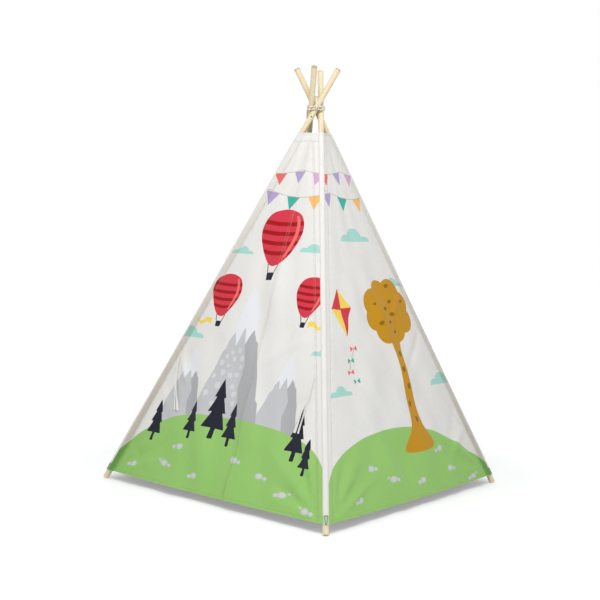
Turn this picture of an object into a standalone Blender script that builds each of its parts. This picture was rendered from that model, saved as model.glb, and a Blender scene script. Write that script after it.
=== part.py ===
"""Kids' teepee: four two-piece poles lashed together near the top, and a canvas cover.

The cover is sewn with a pole sleeve and a white tape down each corner. Its front side is a door
of two flaps that meet at a slit, each with a pair of ribbon ties. Metres, +Z up. The origin is on
the floor under the lashing, and the door faces -Y.
"""
import math

import bmesh
import bpy
from mathutils import Matrix, Vector

# Fit between touching pieces, and the distance at which mesh corners count as one
GAP = 0.0003
WELD_DISTANCE = 0.000003
SMOOTH_DEGREES = 40.0

# Frame
BASE_SIDE = 1.080
CROSSING_HEIGHT = 1.447
FOLD_DEGREES = 26.0

# Poles, each a lower and an upper dowel joined by a flush metal ferrule
POLE_DIAMETER = 0.022
POLE_ABOVE_CROSSING = 0.1675
LOWER_POLE_LENGTH = 0.900
FOOT_FLAT_DEPTH = 0.0020
FOOT_ROUNDING = 0.0012
TIP_ROUNDING = 0.0020
FERRULE_LENGTH = 0.100
FERRULE_WALL = 0.0008
ROPE_HOLE_DIAMETER = 0.0065
ROPE_HOLE_BELOW = 0.041
ROPE_HOLE_ABOVE = 0.023
DRILL_OVERRUN = 0.011
POLE_SIDES = 24
HOLE_SIDES = 12

# Cover
COVER_START = 0.035
COVER_STOP_BELOW = 0.115
CLOTH = 0.0012
SLEEVE_CLEARANCE = 0.0004
SLEEVE_WALL = 0.0010
SLEEVE_GAP = 0.0006
SEAM_INSET = 0.026
HEM_SAG = 0.0050
FOLD_DEPTH = 0.0030
SLEEVE_SIDES = 20
CLOTH_COLUMNS = 8
CLOTH_ROWS = 12
FOLDS_ACROSS = 3.5
FOLD_LEAN_SHARE = 0.35
HEM_FADE_POWER = 8

# Door
SLIT_START_OFFSET = 0.080
SLIT_STOP_OFFSET = 0.018
HEADER_HEIGHT = 0.035
HEADER_GAP = 0.0009

# Corner tape and the folded tab below it
TAPE_THICKNESS = 0.0008
TAB_LENGTH = 0.030
TAB_WIDTH = 0.0125
TAB_END_WIDTH = 0.0085
TAB_POINT = 0.0060
TAB_TIP_WIDTH = 0.00425
TAB_TIP_DROP = 0.0015
TAPE_COLUMNS = 6

# Ribbon ties
RIBBON_WIDTH = 0.009
RIBBON_THICKNESS = 0.0008
RIBBON_LENGTH = 0.200
RIBBON_SEAT = 0.0004
RIBBON_ROWS = 14
TIE_HEIGHT = 0.480
TIE_FROM_SEAM = 0.007
LEFT_TIE_DRIFT = 0.058
RIGHT_TIE_DRIFT = -0.004
TIE_FORK = 0.008
DRIFT_POWER = 1.5

# Rope
ROPE_DIAMETER = 0.005
ROPE_CLEARANCE = 0.0006
TURN_COUNT = 3
TURN_GAP = 0.0007
POINTS_PER_TURN = 24
TAIL_LENGTH = 0.030
TAIL_POINTS = 9
TAIL_SWEEP_DEGREES = 16.0
TAIL_POWER = 1.6
BOW_AZIMUTH = -45.0
BOW_LENGTH = 0.0220
BOW_OPENING = 0.0055
BOW_DROOP = 0.0040
BOW_OPEN_DEGREES = 38.0
BOW_POINTS = 20
KNOT_GAP = 0.0007
KNOT_RISE = 0.0065
KNOT_POINTS = 10
WALK_DEGREES = 2.0
LOOP_BORE = 0.0044
LOOP_HEIGHT = 0.046
LOOP_DROP = 0.010
LOOP_ARC_POINTS = 9

CORNERS = ("front_left", "front_right", "back_right", "back_left")
SIDES = ("front", "right", "back", "left")
CORNER_AZIMUTHS = (-135.0, -45.0, 45.0, 135.0)
SIDE_AZIMUTHS = (-90.0, 0.0, 90.0, 180.0)
HALF_NAMES = {
    "right": ("right_panel_front_half", "right_panel_back_half"),
    "back": ("back_panel_right_half", "back_panel_left_half"),
    "left": ("left_panel_back_half", "left_panel_front_half"),
}

UP = Vector((0.0, 0.0, 1.0))
POLE_RADIUS = POLE_DIAMETER / 2
ROPE_RADIUS = ROPE_DIAMETER / 2
TURN_PITCH = ROPE_DIAMETER + TURN_GAP
POLE_SPREAD = LOOP_BORE / 2 + ROPE_DIAMETER + GAP + POLE_RADIUS
BASE_RADIUS = BASE_SIDE / math.sqrt(2)
LEAN = math.atan2(BASE_RADIUS, CROSSING_HEIGHT)
PANEL_TILT = math.atan2(BASE_SIDE / 2, CROSSING_HEIGHT)
CROSSING_ALONG = CROSSING_HEIGHT / math.cos(LEAN)
POLE_START = (POLE_RADIUS * math.sin(LEAN) - FOOT_FLAT_DEPTH) / math.cos(LEAN)
POLE_LENGTH = CROSSING_ALONG - POLE_START + POLE_ABOVE_CROSSING
COVER_STOP = CROSSING_ALONG - COVER_STOP_BELOW
SLEEVE_BORE = POLE_RADIUS + SLEEVE_CLEARANCE
SLEEVE_RADIUS = SLEEVE_BORE + SLEEVE_WALL
CLOTH_EDGE = math.sqrt((SLEEVE_RADIUS + SLEEVE_GAP) ** 2 - (SLEEVE_RADIUS - CLOTH) ** 2)
TAPE_RADIUS = SLEEVE_RADIUS + GAP


def direction(azimuth_degrees):
    """Level unit vector at an azimuth, counted from +X towards +Y."""
    azimuth = math.radians(azimuth_degrees)
    return Vector((math.cos(azimuth), math.sin(azimuth), 0.0))


class Corner:
    """One corner: its pole's axis, and the directions that its pieces are laid out in."""

    def __init__(self, index):
        self.name = CORNERS[index]
        self.outward = direction(CORNER_AZIMUTHS[index])
        self.sideways = UP.cross(self.outward)
        self.foot = self.outward * BASE_RADIUS + self.sideways * POLE_SPREAD
        self.crossing = UP * CROSSING_HEIGHT + self.sideways * POLE_SPREAD
        self.along = (self.crossing - self.foot).normalized()
        self.face = self.sideways.cross(self.along)

    def point(self, distance):
        """Point on the pole's axis, by its distance along the axis from the floor."""
        return self.foot + self.along * distance

    def frame(self, distance):
        """Matrix whose Z runs up the pole, whose X faces out of the corner, whose Y is sideways."""
        turn = Matrix((self.face, self.sideways, self.along)).transposed().to_4x4()
        return Matrix.Translation(self.point(distance)) @ turn


class Line:
    """A straight line up the cover, from the hem to the top edge."""

    def __init__(self, start, stop):
        self.start = start
        self.stop = stop

    def at(self, share):
        return self.start.lerp(self.stop, share)

    def moved(self, offset):
        return Line(self.start + offset, self.stop + offset)


class Side:
    """One side of the cover, between two corners, as straight lines from hem to top edge."""

    def __init__(self, index, corners):
        self.name = SIDES[index]
        self.left_corner = corners[index]
        self.right_corner = corners[(index + 1) % len(corners)]
        level = direction(SIDE_AZIMUTHS[index])
        self.across = UP.cross(level)
        self.normal = level * math.cos(PANEL_TILT) + UP * math.sin(PANEL_TILT)
        self.rise = UP * math.cos(PANEL_TILT) - level * math.sin(PANEL_TILT)
        self.left_edge = self.sleeve_line(self.left_corner, 1)
        self.right_edge = self.sleeve_line(self.right_corner, -1)
        seam = SEAM_INSET - CLOTH_EDGE
        self.left_seam = self.chord_line(0.0, seam, seam)
        self.right_seam = self.chord_line(1.0, -seam, -seam)
        self.middle = self.chord_line(0.5, 0.0, 0.0)
        self.slit = self.chord_line(0.5, SLIT_START_OFFSET, SLIT_STOP_OFFSET)

    def sleeve_line(self, corner, sign):
        """Line along which the cloth's outer face leaves a pole's sleeve."""
        beside = self.normal * SLEEVE_RADIUS + self.across * (sign * CLOTH_EDGE)
        return Line(corner.point(COVER_START) + beside, corner.point(COVER_STOP) + beside)

    def chord_line(self, across_share, start_offset, stop_offset):
        """Line from a point of the hem's chord to a point of the top edge's chord."""
        return Line(self.chord_point(0.0, across_share, start_offset),
                    self.chord_point(1.0, across_share, stop_offset))

    def chord_point(self, share, across_share, offset):
        """Point of the straight chord between the edges, offset along it from a share of its length."""
        a, b = self.left_edge.at(share), self.right_edge.at(share)
        return a.lerp(b, across_share) + (b - a).normalized() * offset

    def shaped(self, point, share):
        """A point of the flat side, moved by the cloth's shallow folds and its hanging hem."""
        left, right = self.left_seam.at(share), self.right_seam.at(share)
        q = (point - left).dot(self.across) / (right - left).dot(self.across)
        q = min(max(q, 0.0), 1.0)
        wave = math.sin(2 * math.pi * (FOLDS_ACROSS * q + FOLD_LEAN_SHARE * share))
        fold = FOLD_DEPTH * (1 - share) * math.sin(math.pi * q) * wave
        sag = HEM_SAG * 4 * q * (1 - q) * (1 - share) ** HEM_FADE_POWER
        return point + self.normal * fold - self.rise * sag

    def share_at_height(self, height):
        """Share of the way up the cover at which the cloth is this high above the floor."""
        start, stop = self.middle.start.z, self.middle.stop.z
        return (height - start) / (stop - start)


def material(name, colour, roughness, metallic=0.0):
    """Principled material with a plain colour."""
    made = bpy.data.materials.new(name)
    made.use_nodes = True
    shader = made.node_tree.nodes["Principled BSDF"]
    shader.inputs["Base Color"].default_value = (*colour, 1.0)
    shader.inputs["Roughness"].default_value = roughness
    shader.inputs["Metallic"].default_value = metallic
    made.diffuse_color = (*colour, 1.0)
    return made


def add_object(name, data, finish, pivot=None):
    """Link an object made in world space, and give it the pivot's place as its origin."""
    data.materials.append(finish)
    made = bpy.data.objects.new(name, data)
    bpy.context.scene.collection.objects.link(made)
    if pivot is not None:
        data.transform(pivot.matrix_world.inverted())
        made.parent = pivot
    return made


def add_pivot(name, place, body_parent=None):
    """Empty on a joint's axis, which carries the pieces that turn about it."""
    pivot = bpy.data.objects.new(name, None)
    pivot.empty_display_size = POLE_DIAMETER
    bpy.context.scene.collection.objects.link(pivot)
    if body_parent is None:
        pivot.matrix_world = place
    else:
        pivot.parent = body_parent
        pivot.matrix_parent_inverse = body_parent.matrix_world.inverted()
        pivot.matrix_world = place
    bpy.context.view_layer.update()
    return pivot


def mesh_from(bm, name):
    """Mesh with its faces turned outwards and its round faces shaded smooth."""
    bmesh.ops.remove_doubles(bm, verts=bm.verts, dist=WELD_DISTANCE)
    bmesh.ops.recalc_face_normals(bm, faces=bm.faces)
    mesh = bpy.data.meshes.new(name)
    bm.to_mesh(mesh)
    bm.free()
    mesh.shade_smooth()
    mesh.set_sharp_from_angle(angle=math.radians(SMOOTH_DEGREES))
    return mesh


def turned(profile, sides, closed):
    """Solid turned about Z from a profile of (radius, height) points; a closed one is a tube."""
    bm = bmesh.new()
    verts = [bm.verts.new((radius, 0.0, height)) for radius, height in profile]
    pairs = list(zip(verts, verts[1:]))
    if closed:
        pairs.append((verts[-1], verts[0]))
    edges = [bm.edges.new(pair) for pair in pairs]
    bmesh.ops.spin(bm, geom=verts + edges, cent=(0.0, 0.0, 0.0), axis=UP, angle=2 * math.pi,
                   steps=sides, use_merge=True)
    return bm


def cut_at_floor(bm):
    """Cut away what is below the floor, and close the cut with a flat face to stand on."""
    geometry = bm.verts[:] + bm.edges[:] + bm.faces[:]
    cut = bmesh.ops.bisect_plane(bm, geom=geometry, plane_co=(0.0, 0.0, 0.0), plane_no=-UP,
                                 clear_outer=True)
    edges = [item for item in cut["geom_cut"] if isinstance(item, bmesh.types.BMEdge)]
    bmesh.ops.edgeloop_fill(bm, edges=edges)


def add_poles(corner, pivot, wood):
    """Lower and upper dowel, each turned down to a tenon inside the ferrule."""
    tenon_radius = POLE_RADIUS - FERRULE_WALL - GAP
    shoulder = LOWER_POLE_LENGTH - FERRULE_LENGTH / 2
    lower = turned([
        (0.0, 0.0), (POLE_RADIUS - FOOT_ROUNDING, 0.0), (POLE_RADIUS, FOOT_ROUNDING),
        (POLE_RADIUS, shoulder), (tenon_radius, shoulder),
        (tenon_radius, LOWER_POLE_LENGTH), (0.0, LOWER_POLE_LENGTH),
    ], POLE_SIDES, False)
    bmesh.ops.remove_doubles(lower, verts=lower.verts, dist=WELD_DISTANCE)
    lower.transform(corner.frame(POLE_START))
    cut_at_floor(lower)
    add_object("pole_lower_" + corner.name, mesh_from(lower, "lower_dowel"), wood, pivot)

    start = LOWER_POLE_LENGTH + GAP
    upper_shoulder = LOWER_POLE_LENGTH + FERRULE_LENGTH / 2
    upper = turned([
        (0.0, start), (tenon_radius, start),
        (tenon_radius, upper_shoulder), (POLE_RADIUS, upper_shoulder),
        (POLE_RADIUS, POLE_LENGTH - TIP_ROUNDING), (POLE_RADIUS - TIP_ROUNDING, POLE_LENGTH),
        (0.0, POLE_LENGTH),
    ], POLE_SIDES, False)
    upper.transform(corner.frame(POLE_START))
    made = add_object("pole_upper_" + corner.name, mesh_from(upper, "upper_dowel"), wood, pivot)
    drill_rope_hole(made, corner, pivot, wood)


def drill_rope_hole(pole, corner, pivot, wood):
    """Hole for the rope, sideways through the pole: below the crossing in front, above it behind."""
    in_front = corner.name.startswith("front")
    offset = -ROPE_HOLE_BELOW if in_front else ROPE_HOLE_ABOVE
    bm = bmesh.new()
    bmesh.ops.create_cone(bm, cap_ends=True, segments=HOLE_SIDES, radius1=ROPE_HOLE_DIAMETER / 2,
                          radius2=ROPE_HOLE_DIAMETER / 2, depth=POLE_DIAMETER + 2 * DRILL_OVERRUN)
    bm.transform(Matrix.Rotation(math.pi / 2, 4, "X"))
    bm.transform(corner.frame(CROSSING_ALONG + offset))
    cutter = add_object("hole_cutter_" + corner.name, mesh_from(bm, "hole_cutter"), wood, pivot)
    cutter.hide_render = True
    cutter.display_type = "WIRE"
    cut = pole.modifiers.new("rope_hole", "BOOLEAN")
    cut.object = cutter
    cut.solver = "EXACT"


def add_ferrule(corner, pivot, metal):
    """Thin metal tube over the two tenons, flush with the dowels."""
    start = LOWER_POLE_LENGTH - FERRULE_LENGTH / 2 + GAP
    stop = LOWER_POLE_LENGTH + FERRULE_LENGTH / 2 - GAP
    bore = POLE_RADIUS - FERRULE_WALL
    profile = [(POLE_RADIUS, start), (POLE_RADIUS, stop), (bore, stop), (bore, start)]
    bm = turned(profile, POLE_SIDES, True)
    bm.transform(corner.frame(POLE_START))
    add_object("ferrule_" + corner.name, mesh_from(bm, "ferrule"), metal, pivot)


def add_sleeve(corner, pivot, cloth):
    """Cloth channel that the pole slides into, open at both ends."""
    profile = [(SLEEVE_RADIUS, COVER_START), (SLEEVE_RADIUS, COVER_STOP),
               (SLEEVE_BORE, COVER_STOP), (SLEEVE_BORE, COVER_START)]
    bm = turned(profile, SLEEVE_SIDES, True)
    bm.transform(corner.frame(0.0))
    add_object("sleeve_" + corner.name, mesh_from(bm, "sleeve"), cloth, pivot)


def tape_half_angle():
    """Half of the angle round a pole between the faces of its two sides of the cover."""
    level_dot = math.cos(PANEL_TILT) / math.sqrt(2)
    face_dot = level_dot * math.cos(LEAN) + math.sin(PANEL_TILT) * math.sin(LEAN)
    return math.atan2(level_dot, face_dot)


def add_strip_round_pole(name, corner, pivot, cloth, stations):
    """Thin strip bent round a sleeve. Each station is (distance along the pole, half angle)."""
    bm = bmesh.new()
    rows = []
    for distance, half_angle in stations:
        place = corner.frame(distance)
        row = []
        for step in range(TAPE_COLUMNS + 1):
            angle = half_angle * (2 * step / TAPE_COLUMNS - 1)
            spot = Vector((math.cos(angle), math.sin(angle), 0.0)) * TAPE_RADIUS
            row.append(bm.verts.new(place @ spot))
        rows.append(row)
    for lower, upper in zip(rows, rows[1:]):
        for a, b, c, d in zip(lower, lower[1:], upper[1:], upper):
            bm.faces.new((a, b, c, d))
    made = add_object(name, mesh_from(bm, name), cloth, pivot)
    solidify = made.modifiers.new("thickness", "SOLIDIFY")
    solidify.thickness = TAPE_THICKNESS
    solidify.offset = 1.0


def slab(bm, grid, offset):
    """Face the rows of a grid of vertices, and extrude the sheet by an offset into a closed slab."""
    for lower, upper in zip(grid, grid[1:]):
        for a, b, c, d in zip(lower, lower[1:], upper[1:], upper):
            bm.faces.new((a, b, c, d))
    grown = bmesh.ops.extrude_face_region(bm, geom=bm.faces[:])
    moved = [item for item in grown["geom"] if isinstance(item, bmesh.types.BMVert)]
    bmesh.ops.translate(bm, verts=moved, vec=offset)


def add_corner_tape(corner, pivot, white, tab_cloth):
    """White tape over the outside of a corner, and the folded tab that closes its lower end."""
    half = tape_half_angle()
    tape_start = COVER_START + TAB_LENGTH
    add_strip_round_pole("corner_tape_" + corner.name, corner, pivot, white,
                         [(tape_start, half), (COVER_STOP, half)])
    stations = [
        (COVER_START - TAB_TIP_DROP, TAB_TIP_WIDTH / 2 / TAPE_RADIUS),
        (COVER_START + TAB_POINT, TAB_END_WIDTH / 2 / TAPE_RADIUS),
        (tape_start - GAP, TAB_WIDTH / 2 / TAPE_RADIUS),
    ]
    add_strip_round_pole("tape_tab_" + corner.name, corner, pivot, tab_cloth, stations)


def add_cloth(name, side, left, right, start_share, stop_share, pivot, cloth):
    """A piece of cloth between two lines of a side, folded and sagging as the side is."""
    left = left.moved(side.across * (GAP / 2))
    right = right.moved(-side.across * (GAP / 2))
    bm = bmesh.new()
    columns = CLOTH_COLUMNS
    rows = max(1, round(CLOTH_ROWS * (stop_share - start_share)))
    grid = []
    for row in range(rows + 1):
        share = start_share + (stop_share - start_share) * row / rows
        a, b = left.at(share), right.at(share)
        line = [side.shaped(a.lerp(b, step / columns), share) for step in range(columns + 1)]
        grid.append([bm.verts.new(point) for point in line])
    slab(bm, grid, -side.normal * CLOTH)
    add_object(name, mesh_from(bm, name), cloth, pivot)


def add_plain_side(side, pivots, cloth):
    """A side with no door: two halves, each carried by the pole at its corner."""
    names = HALF_NAMES[side.name]
    left, right = pivots[side.left_corner.name], pivots[side.right_corner.name]
    add_cloth(names[0], side, side.left_edge, side.middle, 0.0, 1.0, left, cloth)
    add_cloth(names[1], side, side.middle, side.right_edge, 0.0, 1.0, right, cloth)


def header_share(side):
    """Share of the way up the cover where the slit stops and the header starts."""
    return 1.0 - HEADER_HEIGHT / (side.slit.stop - side.slit.start).length


def add_door_side(side, pivots, door_pivots, cloth):
    """The front: a seam strip, a flap and half of the header at each pole."""
    top = header_share(side)
    below_top = top - HEADER_GAP / (side.slit.stop - side.slit.start).length
    left, right = pivots[side.left_corner.name], pivots[side.right_corner.name]
    add_cloth("seam_strip_left", side, side.left_edge, side.left_seam, 0.0, below_top, left, cloth)
    add_cloth("seam_strip_right", side, side.right_seam, side.right_edge, 0.0, below_top, right, cloth)
    add_cloth("door_header_left", side, side.left_edge, side.slit, top, 1.0, left, cloth)
    add_cloth("door_header_right", side, side.slit, side.right_edge, top, 1.0, right, cloth)
    left, right = door_pivots["left"], door_pivots["right"]
    add_cloth("door_flap_left", side, side.left_seam, side.slit, 0.0, below_top, left, cloth)
    add_cloth("door_flap_right", side, side.slit, side.right_seam, 0.0, below_top, right, cloth)


def add_ribbon(name, side, seam, drift, layer, pivot, cloth):
    """Ribbon sewn on beside a seam. It lies down the flap, layer 0 on the flap, layer 1 on layer 0."""
    inward = 1.0 if seam is side.left_seam else -1.0
    lift = RIBBON_SEAT + layer * (RIBBON_THICKNESS + RIBBON_SEAT)
    span = (side.middle.stop - side.middle.start).length
    start_share = side.share_at_height(TIE_HEIGHT)
    start = seam.at(start_share) + side.across * (inward * (TIE_FROM_SEAM + RIBBON_WIDTH / 2))
    bm = bmesh.new()
    rows = []
    for row in range(RIBBON_ROWS + 1):
        down = row / RIBBON_ROWS
        share = start_share - RIBBON_LENGTH * down / span
        across = start.dot(side.across) + (drift + inward * layer * TIE_FORK) * down ** DRIFT_POWER
        pair = []
        for half in (-RIBBON_WIDTH / 2, RIBBON_WIDTH / 2):
            pair.append(bm.verts.new(flap_point(side, share, across + half) + side.normal * lift))
        rows.append(pair)
    slab(bm, rows, side.normal * RIBBON_THICKNESS)
    add_object(name, mesh_from(bm, name), cloth, pivot)


def flap_point(side, share, across):
    """Point of the folded cloth at a share of the way up, at a place across the side."""
    slit = side.slit.at(share)
    if across < slit.dot(side.across):
        a, b = side.left_seam.at(share), slit
    else:
        a, b = slit, side.right_seam.at(share)
    t = (across - a.dot(side.across)) / (b - a).dot(side.across)
    return side.shaped(a + (b - a) * t, share)


def rope_reach(azimuth, height, corners):
    """How far out the rope's middle lies to clear the poles at rest and folded, and which way.

    The rope follows the hull of the poles' level sections, each grown by the rope's radius. At
    each azimuth the section that reaches furthest sets the point.
    """
    heading = Vector((math.cos(azimuth), math.sin(azimuth), 0.0))
    grown = POLE_RADIUS + ROPE_RADIUS + ROPE_CLEARANCE
    best_reach, best_point = 0.0, None
    for corner in corners:
        for lean in (LEAN, LEAN - math.radians(FOLD_DEGREES)):
            centre = corner.sideways * POLE_SPREAD - corner.outward * (height * math.tan(lean))
            long_axis = grown / math.cos(lean)
            out, side = heading.dot(corner.outward), heading.dot(corner.sideways)
            size = math.hypot(long_axis * out, grown * side)
            reach = centre.dot(heading) + size
            if reach > best_reach:
                best_reach = reach
                best_point = centre + corner.outward * (long_axis ** 2 * out / size)
                best_point += corner.sideways * (grown ** 2 * side / size)
    return best_point + UP * height


def winding_points(corners):
    """The lashing: a hanging tail, then turns that climb round the poles."""
    start_azimuth = math.radians(CORNER_AZIMUTHS[0])
    first_height = -TURN_PITCH * TURN_COUNT / 2
    points = []
    for step in range(TAIL_POINTS):
        left = 1 - step / TAIL_POINTS
        azimuth = start_azimuth - math.radians(TAIL_SWEEP_DEGREES) * math.sin(math.pi / 2 * left)
        height = first_height - TAIL_LENGTH * left ** TAIL_POWER
        points.append(rope_reach(azimuth, height, corners))
    steps = TURN_COUNT * POINTS_PER_TURN
    for step in range(steps + 1):
        azimuth = start_azimuth + 2 * math.pi * step / POINTS_PER_TURN
        height = first_height + TURN_PITCH * step / POINTS_PER_TURN
        points.append(rope_reach(azimuth, height, corners))
    return points


def bow_height():
    """Height from the crossing of the middle turn, where it passes the bow."""
    return TURN_PITCH * ((BOW_AZIMUTH - CORNER_AZIMUTHS[0]) / 360 - 0.5)


def on_turns(along, height, lift, corners):
    """Point outside the turns, by its distance along them and its height from the bow's middle."""
    azimuth = math.radians(BOW_AZIMUTH)
    step = math.copysign(math.radians(WALK_DEGREES), along)
    height += bow_height()
    here = rope_reach(azimuth, height, corners)
    left = abs(along)
    while True:
        azimuth += step
        there = rope_reach(azimuth, height, corners)
        run = (there - here).length
        if run >= left:
            return here.lerp(there, left / run) + direction(math.degrees(azimuth)) * lift
        left -= run
        here = there


def bow_loop_points(hand, corners):
    """One loop of the bow: a ring on the turns, open where its ends meet beside the knot."""
    lift = ROPE_DIAMETER + ROPE_CLEARANCE
    half_height = (ROPE_DIAMETER + BOW_OPENING) / 2
    opening = math.radians(BOW_OPEN_DEGREES)
    root = ROPE_DIAMETER + KNOT_GAP - BOW_LENGTH / 2 * (1 - math.cos(opening))
    points = []
    for step in range(BOW_POINTS + 1):
        turn = opening + 2 * (math.pi - opening) * step / BOW_POINTS
        along = root + BOW_LENGTH / 2 * (1 - math.cos(turn))
        height = half_height * math.sin(turn) - BOW_DROOP * (1 - math.cos(turn)) / 2
        points.append(on_turns(hand * along, height, lift, corners))
    return points


def bow_knot_points(corners):
    """The crossing band of the bow: it arches over the turns, and ends on the outer ones."""
    half_height = TURN_PITCH * (TURN_COUNT - 1) / 2
    points = []
    for step in range(KNOT_POINTS + 1):
        turn = math.pi * (step / KNOT_POINTS - 0.5)
        lift = ROPE_RADIUS + ROPE_CLEARANCE + KNOT_RISE * math.cos(turn)
        points.append(on_turns(0.0, half_height * math.sin(turn), lift, corners))
    return points


def loop_points():
    """Bight of the rope that stands up between the poles: up one side, round and down the other."""
    inner = LOOP_BORE / 2 + ROPE_RADIUS
    heading = direction(CORNER_AZIMUTHS[2])
    top = LOOP_HEIGHT - ROPE_RADIUS - inner
    points = [heading * inner - UP * LOOP_DROP, heading * inner]
    for step in range(LOOP_ARC_POINTS + 1):
        angle = math.pi * step / LOOP_ARC_POINTS
        points.append(heading * (inner * math.cos(angle)) + UP * (top + inner * math.sin(angle)))
    points += [-heading * inner, -heading * inner - UP * LOOP_DROP]
    return points


def add_rope(name, points, rope):
    """Round rope along points given from the crossing, with its ends closed."""
    curve = bpy.data.curves.new(name, "CURVE")
    curve.dimensions = "3D"
    curve.bevel_depth = ROPE_RADIUS
    curve.bevel_resolution = 1
    curve.use_fill_caps = True
    spline = curve.splines.new("POLY")
    spline.points.add(len(points) - 1)
    for target, point in zip(spline.points, points):
        target.co = (*point, 1.0)
    made = add_object(name, curve, rope)
    made.location = UP * CROSSING_HEIGHT
    return made


def least_self_gap(points):
    """Least gap between stretches of a rope that are not neighbours along it."""
    least = math.inf
    apart = math.pi * ROPE_DIAMETER
    lengths = [0.0]
    for a, b in zip(points, points[1:]):
        lengths.append(lengths[-1] + (b - a).length)
    for i, a in enumerate(points):
        for j in range(i + 1, len(points)):
            if lengths[j] - lengths[i] > apart:
                least = min(least, (points[j] - a).length - ROPE_DIAMETER)
    return least


def main():
    for item in list(bpy.data.objects):
        bpy.data.objects.remove(item, do_unlink=True)

    wood = material("pine", (0.78, 0.60, 0.36), 0.55)
    metal = material("aluminium", (0.77, 0.78, 0.80), 0.32, 1.0)
    canvas = material("canvas", (0.86, 0.85, 0.82), 0.85)
    grass = material("green_canvas", (0.34, 0.62, 0.18), 0.85)
    white = material("white_tape", (0.90, 0.90, 0.88), 0.80)
    ribbon = material("cream_ribbon", (0.84, 0.82, 0.74), 0.75)
    cotton = material("cotton_rope", (0.86, 0.83, 0.78), 0.85)

    corners = [Corner(index) for index in range(len(CORNERS))]
    sides = [Side(index, corners) for index in range(len(SIDES))]
    pivots = {}
    for corner in corners:
        pivot = add_pivot("pivot_" + corner.name, corner.frame(CROSSING_ALONG))
        pivots[corner.name] = pivot
        add_poles(corner, pivot, wood)
        add_ferrule(corner, pivot, metal)
        add_sleeve(corner, pivot, canvas)
        add_corner_tape(corner, pivot, white, grass)

    front = sides[0]
    door_seams = {"left": front.left_seam, "right": front.right_seam}
    drifts = {"left": LEFT_TIE_DRIFT, "right": RIGHT_TIE_DRIFT}
    door_pivots = {}
    for hand, seam in door_seams.items():
        place = Matrix.Translation(seam.start)
        door_pivots[hand] = add_pivot("door_pivot_" + hand, place, pivots["front_" + hand])
    add_door_side(front, pivots, door_pivots, canvas)
    for side in sides[1:]:
        add_plain_side(side, pivots, canvas)
    for hand, seam in door_seams.items():
        for layer, part in enumerate(("under", "over")):
            name = "tie_%s_%s" % (hand, part)
            add_ribbon(name, front, seam, drifts[hand], layer, door_pivots[hand], ribbon)

    ropes = {
        "lashing_rope": winding_points(corners),
        "bow_loop_left": bow_loop_points(-1, corners),
        "bow_loop_right": bow_loop_points(1, corners),
        "bow_knot": bow_knot_points(corners),
        "lashing_loop": loop_points(),
    }
    for name, points in ropes.items():
        add_rope(name, points, cotton)
        print("%s: least gap to itself %.2f mm" % (name, least_self_gap(points) * 1000))
    bpy.context.view_layer.update()


main()
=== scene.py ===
"""Kids' teepee, dressed: printed canvas, corner tapes, ribbon ties, rope lashing and pine poles.

The file is laid out as an add-on. Each operator makes one piece or one group of like pieces, and
main() calls them in order. Metres, +Z up, the door faces -Y. Sides are counted from the front
towards the right, and each side is seen from outside, so its left corner is the one before it.
"""
import math

import bpy
import numpy as np
from mathutils import Matrix


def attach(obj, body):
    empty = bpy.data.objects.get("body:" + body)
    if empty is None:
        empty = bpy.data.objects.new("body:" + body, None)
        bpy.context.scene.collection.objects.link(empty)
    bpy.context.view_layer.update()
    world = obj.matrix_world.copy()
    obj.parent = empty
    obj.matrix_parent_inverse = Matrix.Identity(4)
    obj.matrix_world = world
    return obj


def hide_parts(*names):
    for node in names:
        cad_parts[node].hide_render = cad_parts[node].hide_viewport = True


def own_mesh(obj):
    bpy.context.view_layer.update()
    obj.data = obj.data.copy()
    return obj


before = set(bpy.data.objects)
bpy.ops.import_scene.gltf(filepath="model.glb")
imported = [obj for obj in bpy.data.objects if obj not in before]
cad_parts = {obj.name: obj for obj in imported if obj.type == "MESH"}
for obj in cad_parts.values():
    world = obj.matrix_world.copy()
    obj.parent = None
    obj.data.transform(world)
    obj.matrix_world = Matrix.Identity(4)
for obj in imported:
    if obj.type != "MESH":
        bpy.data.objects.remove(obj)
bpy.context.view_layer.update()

bl_info = {
    "name": "Kids Teepee",
    "version": (1, 0, 0),
    "blender": (4, 5, 0),
    "location": "View3D > Sidebar > Teepee",
    "description": "Builds the cloth, rope and finishes of a play teepee around its frame",
    "category": "Object",
}

# The frame's sizes, as the solids have them
BASE_SIDE = 1.080
CROSSING_HEIGHT = 1.447
FOLD_DEGREES = 26.0
POLE_RADIUS = 0.011
POLE_LENGTH = 1.800
ROPE_RADIUS = 0.0025
ROPE_CLEARANCE = 0.0006
LOOP_BORE = 0.0044
COVER_START = 0.035
COVER_STOP_BELOW = 0.115
SLEEVE_RADIUS = 0.0124
CLOTH_EDGE = 0.0066
SEAM_INSET = 0.026
HEADER_HEIGHT = 0.035
HEADER_GAP = 0.0009
SLIT_OFFSETS = (0.080, 0.018)
TAB_LENGTH = 0.030
TIE_HEIGHT = 0.480
TURN_COUNT = 3
TURN_PITCH = 0.0057

CORNERS = ("front_left", "front_right", "back_right", "back_left")
CORNER_AZIMUTHS = (-135.0, -45.0, 45.0, 135.0)
SIDES = ("front", "right", "back", "left")
SIDE_AZIMUTHS = (-90.0, 0.0, 90.0, 180.0)
HALVES = {
    "right": ("right_panel_front_half", "right_panel_back_half"),
    "back": ("back_panel_right_half", "back_panel_left_half"),
    "left": ("left_panel_back_half", "left_panel_front_half"),
}

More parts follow.
